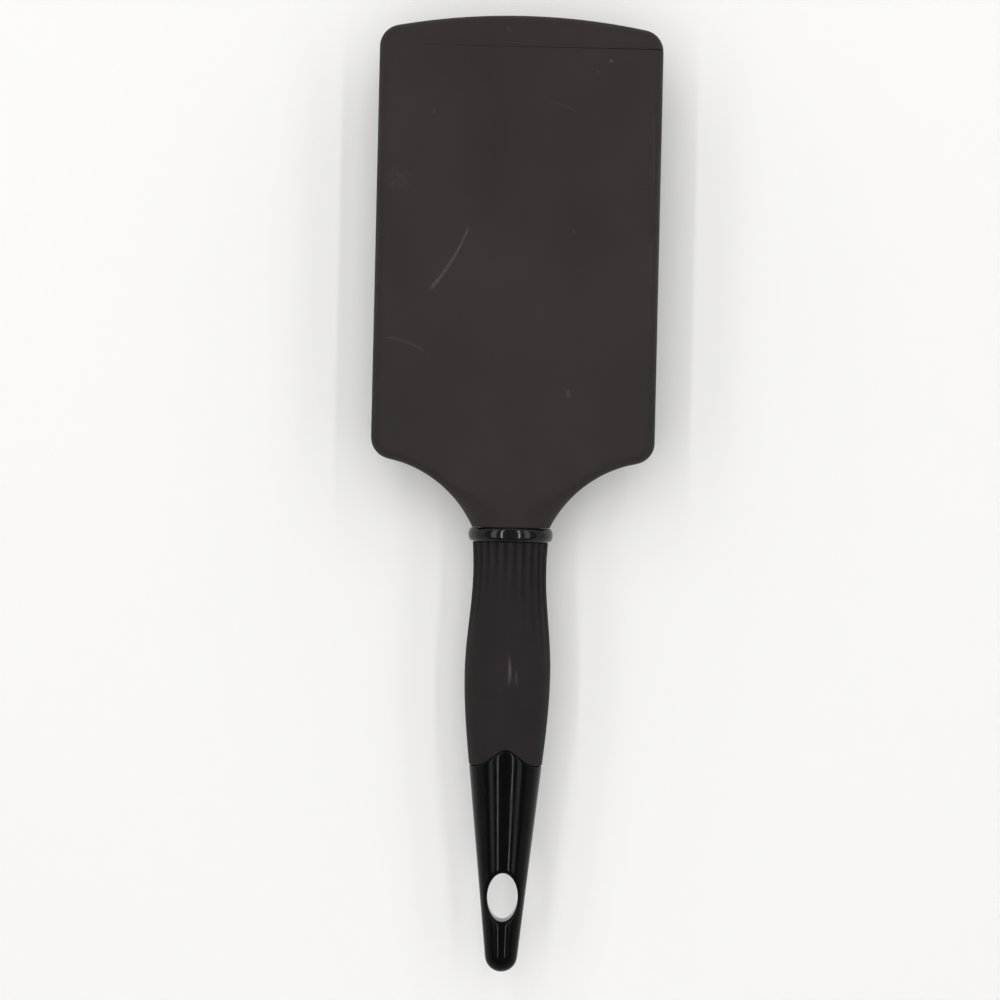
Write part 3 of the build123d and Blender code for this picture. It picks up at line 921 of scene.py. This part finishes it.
def cushion_rubber(finish):
    """Matte black rubber, dusty and a little linty between the pins."""
    rubber = finish.colours.cushion
    raised = finish.node("ShaderNodeAttribute", {"attribute_name": "boss"}, output="Fac")
    cloud = finish.noise(90.0, 4.0, 0.6)
    grain = finish.noise(2600.0, 2.0, 0.6)
    lint = finish.smooth(finish.noise(700.0, 4.0, 0.75), 0.62, 0.7)
    dusty = (finish.smooth(cloud, 0.45, 0.75) * (1 - raised)).clamped()
    tone = finish.mix(dusty * 0.5, rubber, lighter(rubber, 1.9))
    tone = finish.mix(lint * 0.25, tone, (0.1, 0.098, 0.095))
    normal = finish.bump(grain, 0.00003, 0.4)
    rough = 0.62 + dusty * 0.15 - raised * 0.12
    return finish.set(base_color=tone, roughness=rough, normal=normal, specular_ior_level=0.4)


def pin_nylon(finish):
    """Black nylon, shinier on the balls, where use has polished it."""
    nylon = finish.colours.pins
    height = finish.parts()[2]
    polished = finish.smooth(height, 0.001, 0.006, 1.0, 0.0)
    cloud = finish.noise(400.0, 2.0, 0.5)
    tone = finish.mix(cloud, lighter(nylon, 0.8), lighter(nylon, 1.3))
    tone = finish.mix(polished * 0.3, tone, lighter(nylon, 1.9))
    normal = finish.bump(cloud, 0.00003, 0.3)
    return finish.set(base_color=tone, roughness=0.34 - polished * 0.12 + cloud * 0.06, normal=normal)


def inner_plastic(finish):
    """Plain dark plastic of the pieces inside, with faint flow marks."""
    plastic = finish.colours.inside
    flow = finish.noise(120.0, 3.0, 0.6, along=0.25)
    texture = finish.noise(1800.0, 2.0, 0.5)
    tone = finish.mix(flow, lighter(plastic, 0.8), lighter(plastic, 1.25))
    normal = finish.bump(texture, 0.00004, 0.3)
    return finish.set(base_color=tone, roughness=0.5 + flow * 0.1, normal=normal)


class PADDLE_OT_head(bpy.types.Operator):
    """Builds the back shell of the head with its neck, and the tip piece beyond the seam"""

    bl_idname = "paddle.head"
    bl_label = "Head"

    def execute(self, context):
        scene = context.scene
        plan = HeadPlan(scene.brush_head, scene.brush_pad)
        material = kept("soft_touch_coating", soft_touch)
        for name, node, forward in (
            ("head_back", "head_back_shell", False),
            ("head_tip", "head_tip_piece", True),
        ):
            bm = bmesh.new()
            head_block(bm, plan)
            if not forward:
                add_neck(bm, plan, scene.brush_handle.oval)
            open_pocket(bm, plan)
            cut_at_seam(bm, plan, forward)
            finish_piece(bm, name, material, "brush", [node])
        return {"FINISHED"}


class PADDLE_OT_cushion_frame(bpy.types.Operator):
    """Builds the ring that holds the cushion in the head"""

    bl_idname = "paddle.cushion_frame"
    bl_label = "Cushion frame"

    def execute(self, context):
        pad = context.scene.brush_pad
        plan = HeadPlan(context.scene.brush_head, pad)
        low, high = RING_LOW.z, RING_HIGH.z
        rungs = [(draw_window, plan, 0, high)]
        for inset, rise in reversed(rounding(pad.frame_round, ROUND_STEPS)):
            rungs.append((draw_window, plan, -inset, low + rise))
        rungs.append((draw_window, plan, -pad.frame_round - SUPPORT, low))
        rungs.append((draw_pocket, plan, pad.fit, low))
        rungs.append((draw_pocket, plan, pad.fit, high))
        rungs.append(rungs[0])
        bm = bmesh.new()
        ladder(bm, rungs)
        material = kept("satin_black_plastic", satin_plastic)
        finish_piece(bm, "cushion_ring", material, "brush", ["cushion_frame"])
        return {"FINISHED"}


def pin_places(name, pins):
    """The pins of one strip: a full line, and a line one pin shorter between them."""
    low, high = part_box(name)
    middle_y = (low.y + high.y) / 2
    count = int((high.x - low.x) / pins.pitch) + 1
    full = [((i - (count - 1) / 2) * pins.pitch, middle_y + pins.pitch / 4) for i in range(count)]
    short = [((i - (count - 2) / 2) * pins.pitch, middle_y - pins.pitch / 4) for i in range(count - 1)]
    return full + short


class PADDLE_OT_cushion(bpy.types.Operator):
    """Builds the crowned rubber cushion with a raised ring round each pin and its vent"""

    bl_idname = "paddle.cushion"
    bl_label = "Cushion"

    # The share of a boss that is level, and where the vent's ring and hollow fall off, in its radii
    BOSS_TOP = 0.55
    VENT_RING = (1.5, 2.2)
    VENT_HOLLOW = (0.7, 1.2)
    HOLLOW_DEPTH = 4

    def execute(self, context):
        scene = context.scene
        pad, pins = scene.brush_pad, scene.brush_pins
        plan = HeadPlan(scene.brush_head, pad)
        middle_y = (plan.window_low + plan.window_high) / 2
        centre_z = PAD_LOW.z + pad.crown
        flange = RING_HIGH.z

        def crown_z(x, y):
            return centre_z - math.sqrt(pad.crown ** 2 - x * x - (y - middle_y) ** 2)

        def square(x, y):
            return round(x / pins.pitch), round(y / pins.pitch)

        bm = bmesh.new()
        skin = flange + SUPPORT / 4
        rungs = [(draw_pocket, plan, pad.soft_gap, skin), (draw_window, plan, pad.soft_gap, skin)]
        for inset, rise in reversed(rounding(pad.edge, ROUND_STEPS + 1)):
            rungs.append((draw_window, plan, pad.soft_gap + inset, PAD_LOW.z + rise))
        ladder(bm, rungs)
        field = fill(bm, rim_at(bm, PAD_LOW.z))
        first_pin_y = pin_places(STRIPS[0], pins)[0][1]
        cut_field(bm, field, 0, 0, -plan.half, plan.half, pad.cell)
        field = [face for face in bm.faces if abs(face.calc_center_median().z - PAD_LOW.z) < MERGE]
        cut_field(bm, field, 1, first_pin_y, plan.window_low, plan.window_high, pad.cell)
        boss = bm.verts.layers.float.new("boss")
        pins_in = {}
        for name in STRIPS:
            for x, y in pin_places(name, pins):
                pins_in.setdefault(square(x, y), []).append((x, y))
        vent = (0.0, plan.window_low + pad.vent_inset)
        for vert in bm.verts:
            x, y = vert.co.x, vert.co.y
            crowned = step_between(flange, PAD_LOW.z + pad.edge / 2, vert.co.z)
            vert.co.z += (crown_z(x, y) - PAD_LOW.z) * crowned
            across, along = square(x, y)
            near = [
                math.hypot(x - pin_x, y - pin_y)
                for i in (-1, 0, 1) for j in (-1, 0, 1)
                for pin_x, pin_y in pins_in.get((across + i, along + j), [])
            ]
            raised = 1 - step_between(pad.boss * self.BOSS_TOP, pad.boss, min(near, default=1))
            from_vent = math.hypot(x - vent[0], y - vent[1]) / pad.vent
            ring = 1 - step_between(*self.VENT_RING, from_vent)
            hollow = 1 - step_between(*self.VENT_HOLLOW, from_vent)
            vert[boss] = raised
            vert.co.z -= pad.boss_height * (raised + ring - self.HOLLOW_DEPTH * hollow)
        material = kept("black_cushion_rubber", cushion_rubber)
        piece = finish_piece(bm, "air_cushion", material, "brush", ["cushion"])
        thicken = piece.modifiers.new("Rubber", "SOLIDIFY")
        thicken.thickness = pad.wall
        thicken.offset = -1
        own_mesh(piece)
        return {"FINISHED"}


def cut_field(bm, faces, axis, start, low, high, cell):
    """Cuts flat faces across one axis at every cell's border."""
    normal = (1, 0, 0) if axis == 0 else (0, 1, 0)
    for i in range(math.ceil((low - start) / cell), math.floor((high - start) / cell) + 1):
        at = start + i * cell
        geom = set(faces)
        for face in faces:
            geom.update(face.edges)
            geom.update(face.verts)
        place = [at * part for part in normal]
        made = bmesh.ops.bisect_plane(bm, geom=list(geom), dist=MERGE, plane_co=place, plane_no=normal)
        faces = [
            item for item in made["geom"]
            if isinstance(item, bmesh.types.BMFace) and item.calc_center_median()[axis] > at
        ]


class PADDLE_OT_pins(bpy.types.Operator):
    """Builds the strips of ball-tipped pins"""

    bl_idname = "paddle.pins"
    bl_label = "Pins"

    def execute(self, context):
        pins = context.scene.brush_pins
        material = kept("black_pin_nylon", pin_nylon)
        for name in STRIPS:
            low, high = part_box(name)
            bm = bmesh.new()
            bar_z = high.z - pins.bar_height
            made = bmesh.ops.create_cube(bm, size=1)
            extent = (high.x - low.x, high.y - low.y, pins.bar_height)
            bmesh.ops.scale(bm, vec=extent, verts=made["verts"])
            middle = ((low.x + high.x) / 2, (low.y + high.y) / 2, high.z - pins.bar_height / 2)
            bmesh.ops.translate(bm, vec=middle, verts=made["verts"])
            bmesh.ops.bevel(
                bm, geom=bm.edges[:], offset=pins.bar_round, affect="EDGES", segments=2, profile=0.5,
                material=-1,
            )
            for x, y in pin_places(name, pins):
                add_pin(bm, pins, x, y, bar_z + pins.bar_round)
            bmesh.ops.remove_doubles(bm, verts=bm.verts, dist=MERGE)
            finish_piece(bm, f"pins_{name[-2:]}", material, "pin_field", [name])
        return {"FINISHED"}


def add_pin(bm, pins, x, y, top):
    """One pin, spun from its profile: a taper with a ball at its end."""
    diagonal = math.sqrt(0.5) * pins.ball
    taper_end = 2.2 * pins.ball
    profile = [
        (0, top), (pins.base, top), (pins.base, PAD_LOW.z), (pins.neck, taper_end),
        (diagonal, pins.ball + diagonal), (pins.ball, pins.ball), (diagonal, pins.ball - diagonal), (0, 0),
    ]
    verts = [bm.verts.new((x + reach, y, z)) for reach, z in profile]
    edges = [bm.edges.new(pair) for pair in zip(verts, verts[1:])]
    bmesh.ops.spin(
        bm, geom=verts + edges, cent=(x, y, 0), axis=(0, 0, 1), angle=FULL_TURN, steps=pins.around,
        use_merge=True,
    )


class PADDLE_OT_collar(bpy.types.Operator):
    """Builds the gloss ring between the neck and the grip"""

    bl_idname = "paddle.collar"
    bl_label = "Collar"

    AROUND = 128
    STEPS = 18

    def execute(self, context):
        scene = context.scene
        handle = scene.brush_handle
        neck_half = scene.brush_head.neck_half
        middle = (COLLAR_LOW.y + COLLAR_HIGH.y) / 2
        half_length = (COLLAR_HIGH.y - COLLAR_LOW.y) / 2
        rows = self.STEPS + 3

        def place(column, row):
            turn = FULL_TURN * column / self.AROUND
            if row <= self.STEPS:
                rise = HALF_TURN * (row / self.STEPS - 0.5)
                reach = neck_half + (COLLAR_HIGH.x - neck_half) * math.cos(rise)
                y = middle + half_length * math.sin(rise)
            else:
                reach = handle.core_half
                y = COLLAR_HIGH.y if row == self.STEPS + 1 else COLLAR_LOW.y
            if row == rows:
                reach = neck_half
            return on_oval(reach, turn, y, handle.oval)

        bm = bmesh.new()
        rolled(bm, self.AROUND, rows, place)
        material = kept("collar_black", collar_black)
        finish_piece(bm, "gloss_collar", material, "brush", ["neck_collar"])
        return {"FINISHED"}


def handle_half(handle, y):
    """Half width of the grip at a station: an easy waist behind the collar, then the belly."""
    belly_y = COLLAR_LOW.y - handle.belly_from_collar
    waist_y = COLLAR_LOW.y - handle.waist_from_collar
    belly = SLEEVE_HIGH.x
    if y > belly_y:
        return handle.waist_half + (belly - handle.waist_half) * ease((waist_y - y) / (waist_y - belly_y))
    return belly - 2 * (belly - handle.seam_half) * ease((belly_y - y) / (2 * (belly_y - SLEEVE_LOW.y)))


def seam_lift(cap, x):
    """How far the peaked seam stands above its feet, at a distance from the brush's middle."""
    x = min(abs(x), cap.peak_half)
    both = (cap.peak_half * math.tan(cap.flank) - cap.peak) / (1 / math.cos(cap.flank) - 1)
    foot = both - cap.apex
    apex_end = cap.apex * math.sin(cap.flank)
    foot_start = cap.peak_half - foot * math.sin(cap.flank)
    if x <= apex_end:
        return cap.peak - cap.apex + math.sqrt(cap.apex ** 2 - x * x)
    if x >= foot_start:
        return foot - math.sqrt(foot ** 2 - (cap.peak_half - x) ** 2)
    return foot * (1 - math.cos(cap.flank)) + (foot_start - x) * math.tan(cap.flank)


class PADDLE_OT_grip(bpy.types.Operator):
    """Builds the fluted rubber sleeve, cut at the peaked seam"""

    bl_idname = "paddle.grip"
    bl_label = "Grip"

    COLUMNS_PER_FLUTE = 8
    BODY_ROWS = 70
    EDGE_ROWS = 3
    # How unlike the flutes' lengths are on the two sides, and how narrow a flute is for its spacing
    FLUTE_SKEW = 0.45
    FLUTE_NARROW = 1.4

    def execute(self, context):
        handle = context.scene.brush_handle
        cap = context.scene.brush_cap
        around = handle.flutes * self.COLUMNS_PER_FLUTE
        edge = handle.sleeve_edge
        first = 1 + self.EDGE_ROWS
        last = first + self.BODY_ROWS
        rows = last + self.EDGE_ROWS + 2
        top, feet = SLEEVE_HIGH.y, SLEEVE_LOW.y
        bore_end = feet + handle.core_gap

        def flute(turn, y):
            middle = max(math.sin(turn) * (1 - self.FLUTE_SKEW * math.cos(turn)), 0)
            length = handle.flute_long + (handle.flute_short - handle.flute_long) * middle
            fade = 1 - ease(min((top - y) / length, 1))
            return fade * ((1 - math.cos(handle.flutes * turn)) / 2) ** self.FLUTE_NARROW

        def place(column, row):
            turn = FULL_TURN * column / around
            if row == 0 or row == rows:
                reach, y = handle.core_half, top
            elif row == rows - 1:
                reach, y = handle.core_half, bore_end
            else:
                share = min(max((row - first) / self.BODY_ROWS, 0), 1)
                turn_in = QUARTER_TURN * max(first - row, row - last, 0) / self.EDGE_ROWS
                inset = edge * (1 - math.cos(turn_in))
                forward = edge * math.sin(turn_in)
                y = top
                for _ in range(3):
                    x = handle_half(handle, y) * math.cos(turn)
                    end = feet + seam_lift(cap, x) + edge
                    y = (top - edge) * (1 - share) + end * share
                    y = y + forward if row < first else y - forward
                reach = handle_half(handle, y) - handle.flute_depth * flute(turn, y) - inset
            return on_oval(reach, turn, y, handle.oval)

        bm = bmesh.new()
        rolled(bm, around, rows, place)
        groove = bm.verts.layers.float.new("groove")
        for vert in bm.verts:
            turn = math.atan2((vert.co.z - HANDLE_Z) / handle.oval, vert.co.x)
            vert[groove] = flute(turn, vert.co.y)
        material = kept("fluted_grip_rubber", grip_rubber)
        finish_piece(bm, "grip_rubber_sleeve", material, "brush", ["grip_sleeve"])
        return {"FINISHED"}


class PADDLE_OT_tail_cap(bpy.types.Operator):
    """Builds the gloss tail cap with its peaked edge and hanging hole"""

    bl_idname = "paddle.tail_cap"
    bl_label = "Tail cap"

    AROUND = 96
    HOLE_CELLS = 8
    RIM_RINGS = 5
    FIELD_RINGS = 12
    HOLE_FIELD = 0.0115
    SOCKET_ROWS = 3
    EDGE_ROWS = 4
    UPPER_ROWS = 22
    LOWER_ROWS = 6
    TAIL_ROWS = 9
    WALL_CUTS = 4
    # How soon the rows below the seam lose its curve
    LIFT_LOSS = 1.6

    def execute(self, context):
        scene = context.scene
        handle, cap = scene.brush_handle, scene.brush_cap
        feet = SLEEVE_LOW.y
        tail = CAP_LOW.y
        ball_y = tail + cap.tail_round
        run, rise = feet - ball_y, handle.seam_half
        lean = math.atan2(rise, run) - math.asin(cap.tail_round / math.hypot(rise, run))
        touch_y = ball_y - cap.tail_round * math.sin(lean)
        touch_half = cap.tail_round * math.cos(lean)
        hole_y = tail + cap.hole_from_tail
        reach_rows = self.HOLE_CELLS + self.FIELD_RINGS
        field_top = hole_y + self.HOLE_FIELD
        field_low = hole_y - self.HOLE_FIELD
        first = self.SOCKET_ROWS + self.EDGE_ROWS
        hole_first = first + self.UPPER_ROWS
        hole_row = hole_first + reach_rows
        hole_last = hole_row + reach_rows
        tail_first = hole_last + self.LOWER_ROWS
        rows = tail_first + self.TAIL_ROWS
        start_y = feet - cap.gap - cap.rim

        def half(y):
            if y >= feet:
                return handle_half(handle, y)
            if y >= touch_y:
                return handle.seam_half + (touch_half - handle.seam_half) * (feet - y) / (feet - touch_y)
            return math.sqrt(max(cap.tail_round ** 2 - (y - ball_y) ** 2, 0))

        def on_surface(turn, y, inset=0.0):
            return on_oval(half(y) - inset, turn, y, handle.oval)

        def row_y(row):
            if row <= hole_first:
                return start_y + (field_top - start_y) * (row - first) / self.UPPER_ROWS
            if row <= hole_last:
                return field_top + (field_low - field_top) * (row - hole_first) / (2 * reach_rows)
            return field_low + (touch_y - field_low) * (row - hole_last) / self.LOWER_ROWS

        def column_turn(column):
            return FULL_TURN * column / self.AROUND

        def lifted(turn, y, share, inset=0.0, forward=0.0):
            """A point of the surface, with its station raised by the seam's own curve."""
            raised = y
            for _ in range(4):
                x = (half(raised) - inset) * math.cos(turn)
                raised = y + seam_lift(cap, x) * share + forward
            return on_surface(turn, raised, inset)

        def near_hole(column, row):
            """Cells from the middle of the hole, on the back or the front, or None when far from it."""
            for middle in (self.AROUND // 4, 3 * self.AROUND // 4):
                across, along = column - middle, hole_row - row
                if max(abs(across), abs(along)) <= reach_rows:
                    return middle, across, along
            return None

        def around_hole(middle, across, along):
            up = middle == self.AROUND // 4
            ring = max(abs(across), abs(along))
            u, v = across / ring, along / ring
            if abs(u) >= abs(v):
                angle = HALF_TURN / 4 * v / u + (0 if u > 0 else HALF_TURN)
            else:
                angle = QUARTER_TURN * (1 if v > 0 else -1) - HALF_TURN / 4 * u / v
            k = ring - self.HOLE_CELLS
            side = -1 if up else 1
            steps = min(k, self.RIM_RINGS)
            offset = cap.hole_rim * (1 - math.cos(QUARTER_TURN * steps / self.RIM_RINGS))
            a, b = cap.hole_half_width, cap.hole_half_length
            normal = Vector((math.cos(angle) / a, math.sin(angle) / b)).normalized()
            x = side * (a * math.cos(angle) + normal.x * offset)
            y = hole_y + b * math.sin(angle) + normal.y * offset
            width = half(y)
            if k <= self.RIM_RINGS:
                drop = cap.hole_rim - math.sqrt(cap.hole_rim ** 2 - (cap.hole_rim - offset) ** 2)
                z = handle.oval * math.sqrt(width * width - x * x) - drop
                return x, y, HANDLE_Z + (z if up else -z)
            share = (k - self.RIM_RINGS) / (self.FIELD_RINGS - self.RIM_RINGS)
            turn = math.acos(x / width)
            turn = turn if up else FULL_TURN - turn
            outer_turn = column_turn(middle + u * reach_rows)
            outer_y = hole_y + self.HOLE_FIELD * v
            return on_surface(turn + (outer_turn - turn) * share, y + (outer_y - y) * share)

        def place(column, row):
            turn = column_turn(column)
            if row == 0:
                return 0, feet - cap.tang_length, HANDLE_Z
            if row <= 2:
                reach = bar_reach(turn, cap.tang_width, cap.tang_depth)
                x, z = reach * math.cos(turn), HANDLE_Z + reach * math.sin(turn)
                if row == 1:
                    return x, feet - cap.tang_length, z
                return x, feet - cap.gap + seam_lift(cap, x), z
            if row < first:
                turn_in = QUARTER_TURN * (first - row) / self.EDGE_ROWS
                inset = cap.rim * (1 - math.cos(turn_in))
                return lifted(turn, start_y, 1, inset, cap.rim * math.sin(turn_in))
            if row > tail_first:
                start = math.acos((touch_y - ball_y) / cap.tail_round)
                angle = start + (HALF_TURN - start) * (row - tail_first) / self.TAIL_ROWS
                reach = cap.tail_round * math.sin(angle)
                return on_oval(reach, turn, ball_y + cap.tail_round * math.cos(angle), handle.oval)
            near = near_hole(column, row)
            if near:
                return around_hole(*near)
            share = max(1 - (row - first) / self.UPPER_ROWS, 0) ** self.LIFT_LOSS
            return lifted(turn, row_y(row), share)

        bm = bmesh.new()
        bmesh.ops.create_grid(bm, x_segments=self.AROUND, y_segments=rows, size=0.5)
        inside = []
        for vert in bm.verts:
            column = round((vert.co.x + 0.5) * self.AROUND)
            row = round((vert.co.y + 0.5) * rows)
            near = near_hole(column, row)
            if near and max(abs(near[1]), abs(near[2])) < self.HOLE_CELLS:
                inside.append(vert)
            else:
                vert.co = place(column % self.AROUND, row)
        bmesh.ops.delete(bm, geom=inside, context="VERTS")
        bmesh.ops.remove_doubles(bm, verts=bm.verts, dist=MERGE)
        rims = [edge for edge in bm.edges if edge.is_boundary]
        wall = bmesh.ops.bridge_loops(bm, edges=rims)["edges"]
        bmesh.ops.subdivide_edges(bm, edges=wall, cuts=self.WALL_CUTS)
        material = kept("cap_black", cap_black)
        piece = finish_piece(
            bm, "gloss_tail_cap", material, "brush", ["tail_cap"], sharp=HALF_TURN
        )
        smooth = piece.modifiers.new("Smooth", "SUBSURF")
        smooth.levels = smooth.render_levels = 1
        return {"FINISHED"}


class PADDLE_OT_inner_parts(bpy.types.Operator):
    """Gives the CAD pieces inside the brush their finish"""

    bl_idname = "paddle.inner_parts"
    bl_label = "Inner parts"

    def execute(self, context):
        material = kept("plain_inner_plastic", inner_plastic)
        for name in ("pad_backing", "handle_core"):
            node = frame["nodes"][name]
            for slot in node.material_slots:
                slot.material = material
            if not node.material_slots:
                node.data.materials.append(material)
        return {"FINISHED"}


class PADDLE_OT_stage(bpy.types.Operator):
    """Builds the pale floor, the lamps and the camera"""

    bl_idname = "paddle.stage"
    bl_label = "Stage"

    # The tubes stand in pairs on both sides and give the gloss its streaks. Each has its name, its
    # place across, its width and its power. The overhead lamp only lights: gloss doesn't show it.
    # Places and sizes are in metres and powers in watts.
    TUBES = (("near_tube", 0.39, 0.045, 2.8), ("far_tube", 0.86, 0.3, 2.6))
    TUBE_LENGTH = 1.8
    TUBE_ALONG = 0.35
    LAMP_HEIGHT = 1.2
    OVERHEAD = ("overhead", (-0.05, 0.06, LAMP_HEIGHT), (0.6, 1.2), 6.3)
    AMBIENT = (0.27, 0.27, 0.27, 1)
    WALL_STEPS = 12
    FLOOR_STEPS = 96

    def execute(self, context):
        scene = context.scene
        stage = scene.brush_stage
        scene.view_settings.view_transform = "Standard"
        self.add_floor(stage)
        for side in (-1, 1):
            for name, across, width, power in self.TUBES:
                place = (side * across, self.TUBE_ALONG, self.LAMP_HEIGHT)
                self.add_lamp(f"{name}_{side}", place, (width, self.TUBE_LENGTH), power)
        self.add_lamp(*self.OVERHEAD).visible_glossy = False
        scene.world = bpy.data.worlds.new("studio")
        tree = Tree(scene.world)
        tree.feed(tree.nodes["Background"], {"Color": self.AMBIENT, "Strength": 1.0})
        self.add_camera(scene, stage)
        return {"FINISHED"}

    def add_floor(self, stage):
        """A round floor whose rim curves up into a wall, seen only from inside."""
        bm = bmesh.new()
        flat = stage.floor_radius - stage.wall_curve
        pen = [bm.verts.new((x, 0, 0)) for x in (0, flat)]
        bm.edges.new(pen)
        arc = bmesh.ops.spin(
            bm, geom=[pen[1]], cent=(flat, 0, stage.wall_curve), axis=(0, -1, 0),
            angle=QUARTER_TURN, steps=self.WALL_STEPS,
        )
        last = verts_of(arc["geom_last"])[0]
        top = bmesh.ops.extrude_vert_indiv(bm, verts=[last])["verts"][0]
        top.co.z = stage.wall_height
        bmesh.ops.spin(
            bm, geom=bm.verts[:] + bm.edges[:], cent=(0, 0, 0), axis=(0, 0, 1), angle=FULL_TURN,
            steps=self.FLOOR_STEPS, use_merge=True,
        )
        bmesh.ops.remove_doubles(bm, verts=bm.verts, dist=MERGE)
        bmesh.ops.recalc_face_normals(bm, faces=bm.faces)
        if sum(face.normal.z for face in bm.faces) < 0:
            bmesh.ops.reverse_faces(bm, faces=bm.faces)
        finish = Finish("pale_floor")
        pale = finish.colours.floor
        tone = finish.mix(finish.noise(3.0, 2.0, 0.5), lighter(pale, 0.985), lighter(pale, 1.015))
        finish.set(base_color=tone, roughness=0.9, specular_ior_level=0.1)
        behind = finish.node("ShaderNodeNewGeometry", output="Backfacing")
        clear = finish.node("ShaderNodeBsdfTransparent")
        shown = finish.node("ShaderNodeMixShader", inputs={0: behind, 2: clear})
        finish.links.new(finish.shader.outputs[0], shown.socket.node.inputs[1])
        finish.links.new(shown.socket, finish.nodes["Material Output"].inputs["Surface"])
        as_object(bm, "floor", finish.material)

    def add_lamp(self, name, place, extent, power):
        """An area lamp, turned across the brush to face its axis."""
        lamp = bpy.data.lights.new(name, "AREA")
        lamp.shape = "RECTANGLE"
        lamp.size, lamp.size_y = extent
        lamp.energy = power
        holder = linked(name, lamp)
        holder.location = place
        holder.rotation_euler = (0, math.atan2(place[0], place[2]), 0)
        return holder

    def add_camera(self, scene, stage):
        """The camera straight over the brush."""
        data = bpy.data.cameras.new("camera")
        data.lens = stage.focal_length
        camera = linked("camera", data)
        camera.location = (stage.camera_x, stage.camera_y, stage.camera_height)
        camera.rotation_euler = (0, 0, stage.camera_turn)
        scene.camera = camera


PIECES = (
    PADDLE_OT_head, PADDLE_OT_cushion_frame, PADDLE_OT_cushion, PADDLE_OT_pins, PADDLE_OT_collar,
    PADDLE_OT_grip, PADDLE_OT_tail_cap, PADDLE_OT_inner_parts, PADDLE_OT_stage,
)

SIZES = {
    "brush_head": HeadSizes, "brush_pad": PadSizes, "brush_pins": PinSizes,
    "brush_handle": HandleSizes, "brush_cap": CapSizes, "brush_colours": Colours,
    "brush_stage": StageSizes,
}


class PADDLE_PT_panel(bpy.types.Panel):
    """Lists the pieces of the brush and the sizes that they are built from"""

    bl_idname = "PADDLE_PT_panel"
    bl_label = "Paddle hair brush"
    bl_space_type = "VIEW_3D"
    bl_region_type = "UI"
    bl_category = "Brush"

    def draw(self, context):
        for piece in PIECES:
            self.layout.operator(piece.bl_idname)
        for name in SIZES:
            box = self.layout.box()
            group = getattr(context.scene, name)
            for prop in group.bl_rna.properties:
                if prop.identifier not in ("rna_type", "name"):
                    box.prop(group, prop.identifier)


def register():
    for group in SIZES.values():
        bpy.utils.register_class(group)
    for piece in (*PIECES, PADDLE_PT_panel):
        bpy.utils.register_class(piece)
    for name, group in SIZES.items():
        setattr(bpy.types.Scene, name, PointerProperty(type=group))


def unregister():
    for name in SIZES:
        delattr(bpy.types.Scene, name)
    for piece in (PADDLE_PT_panel, *reversed(PIECES)):
        bpy.utils.unregister_class(piece)
    for group in reversed(SIZES.values()):
        bpy.utils.unregister_class(group)


def main():
    register()
    for piece in PIECES:
        name = piece.bl_idname.split(".")[1]
        getattr(bpy.ops.paddle, name)()


if __name__ == "__main__":
    main()
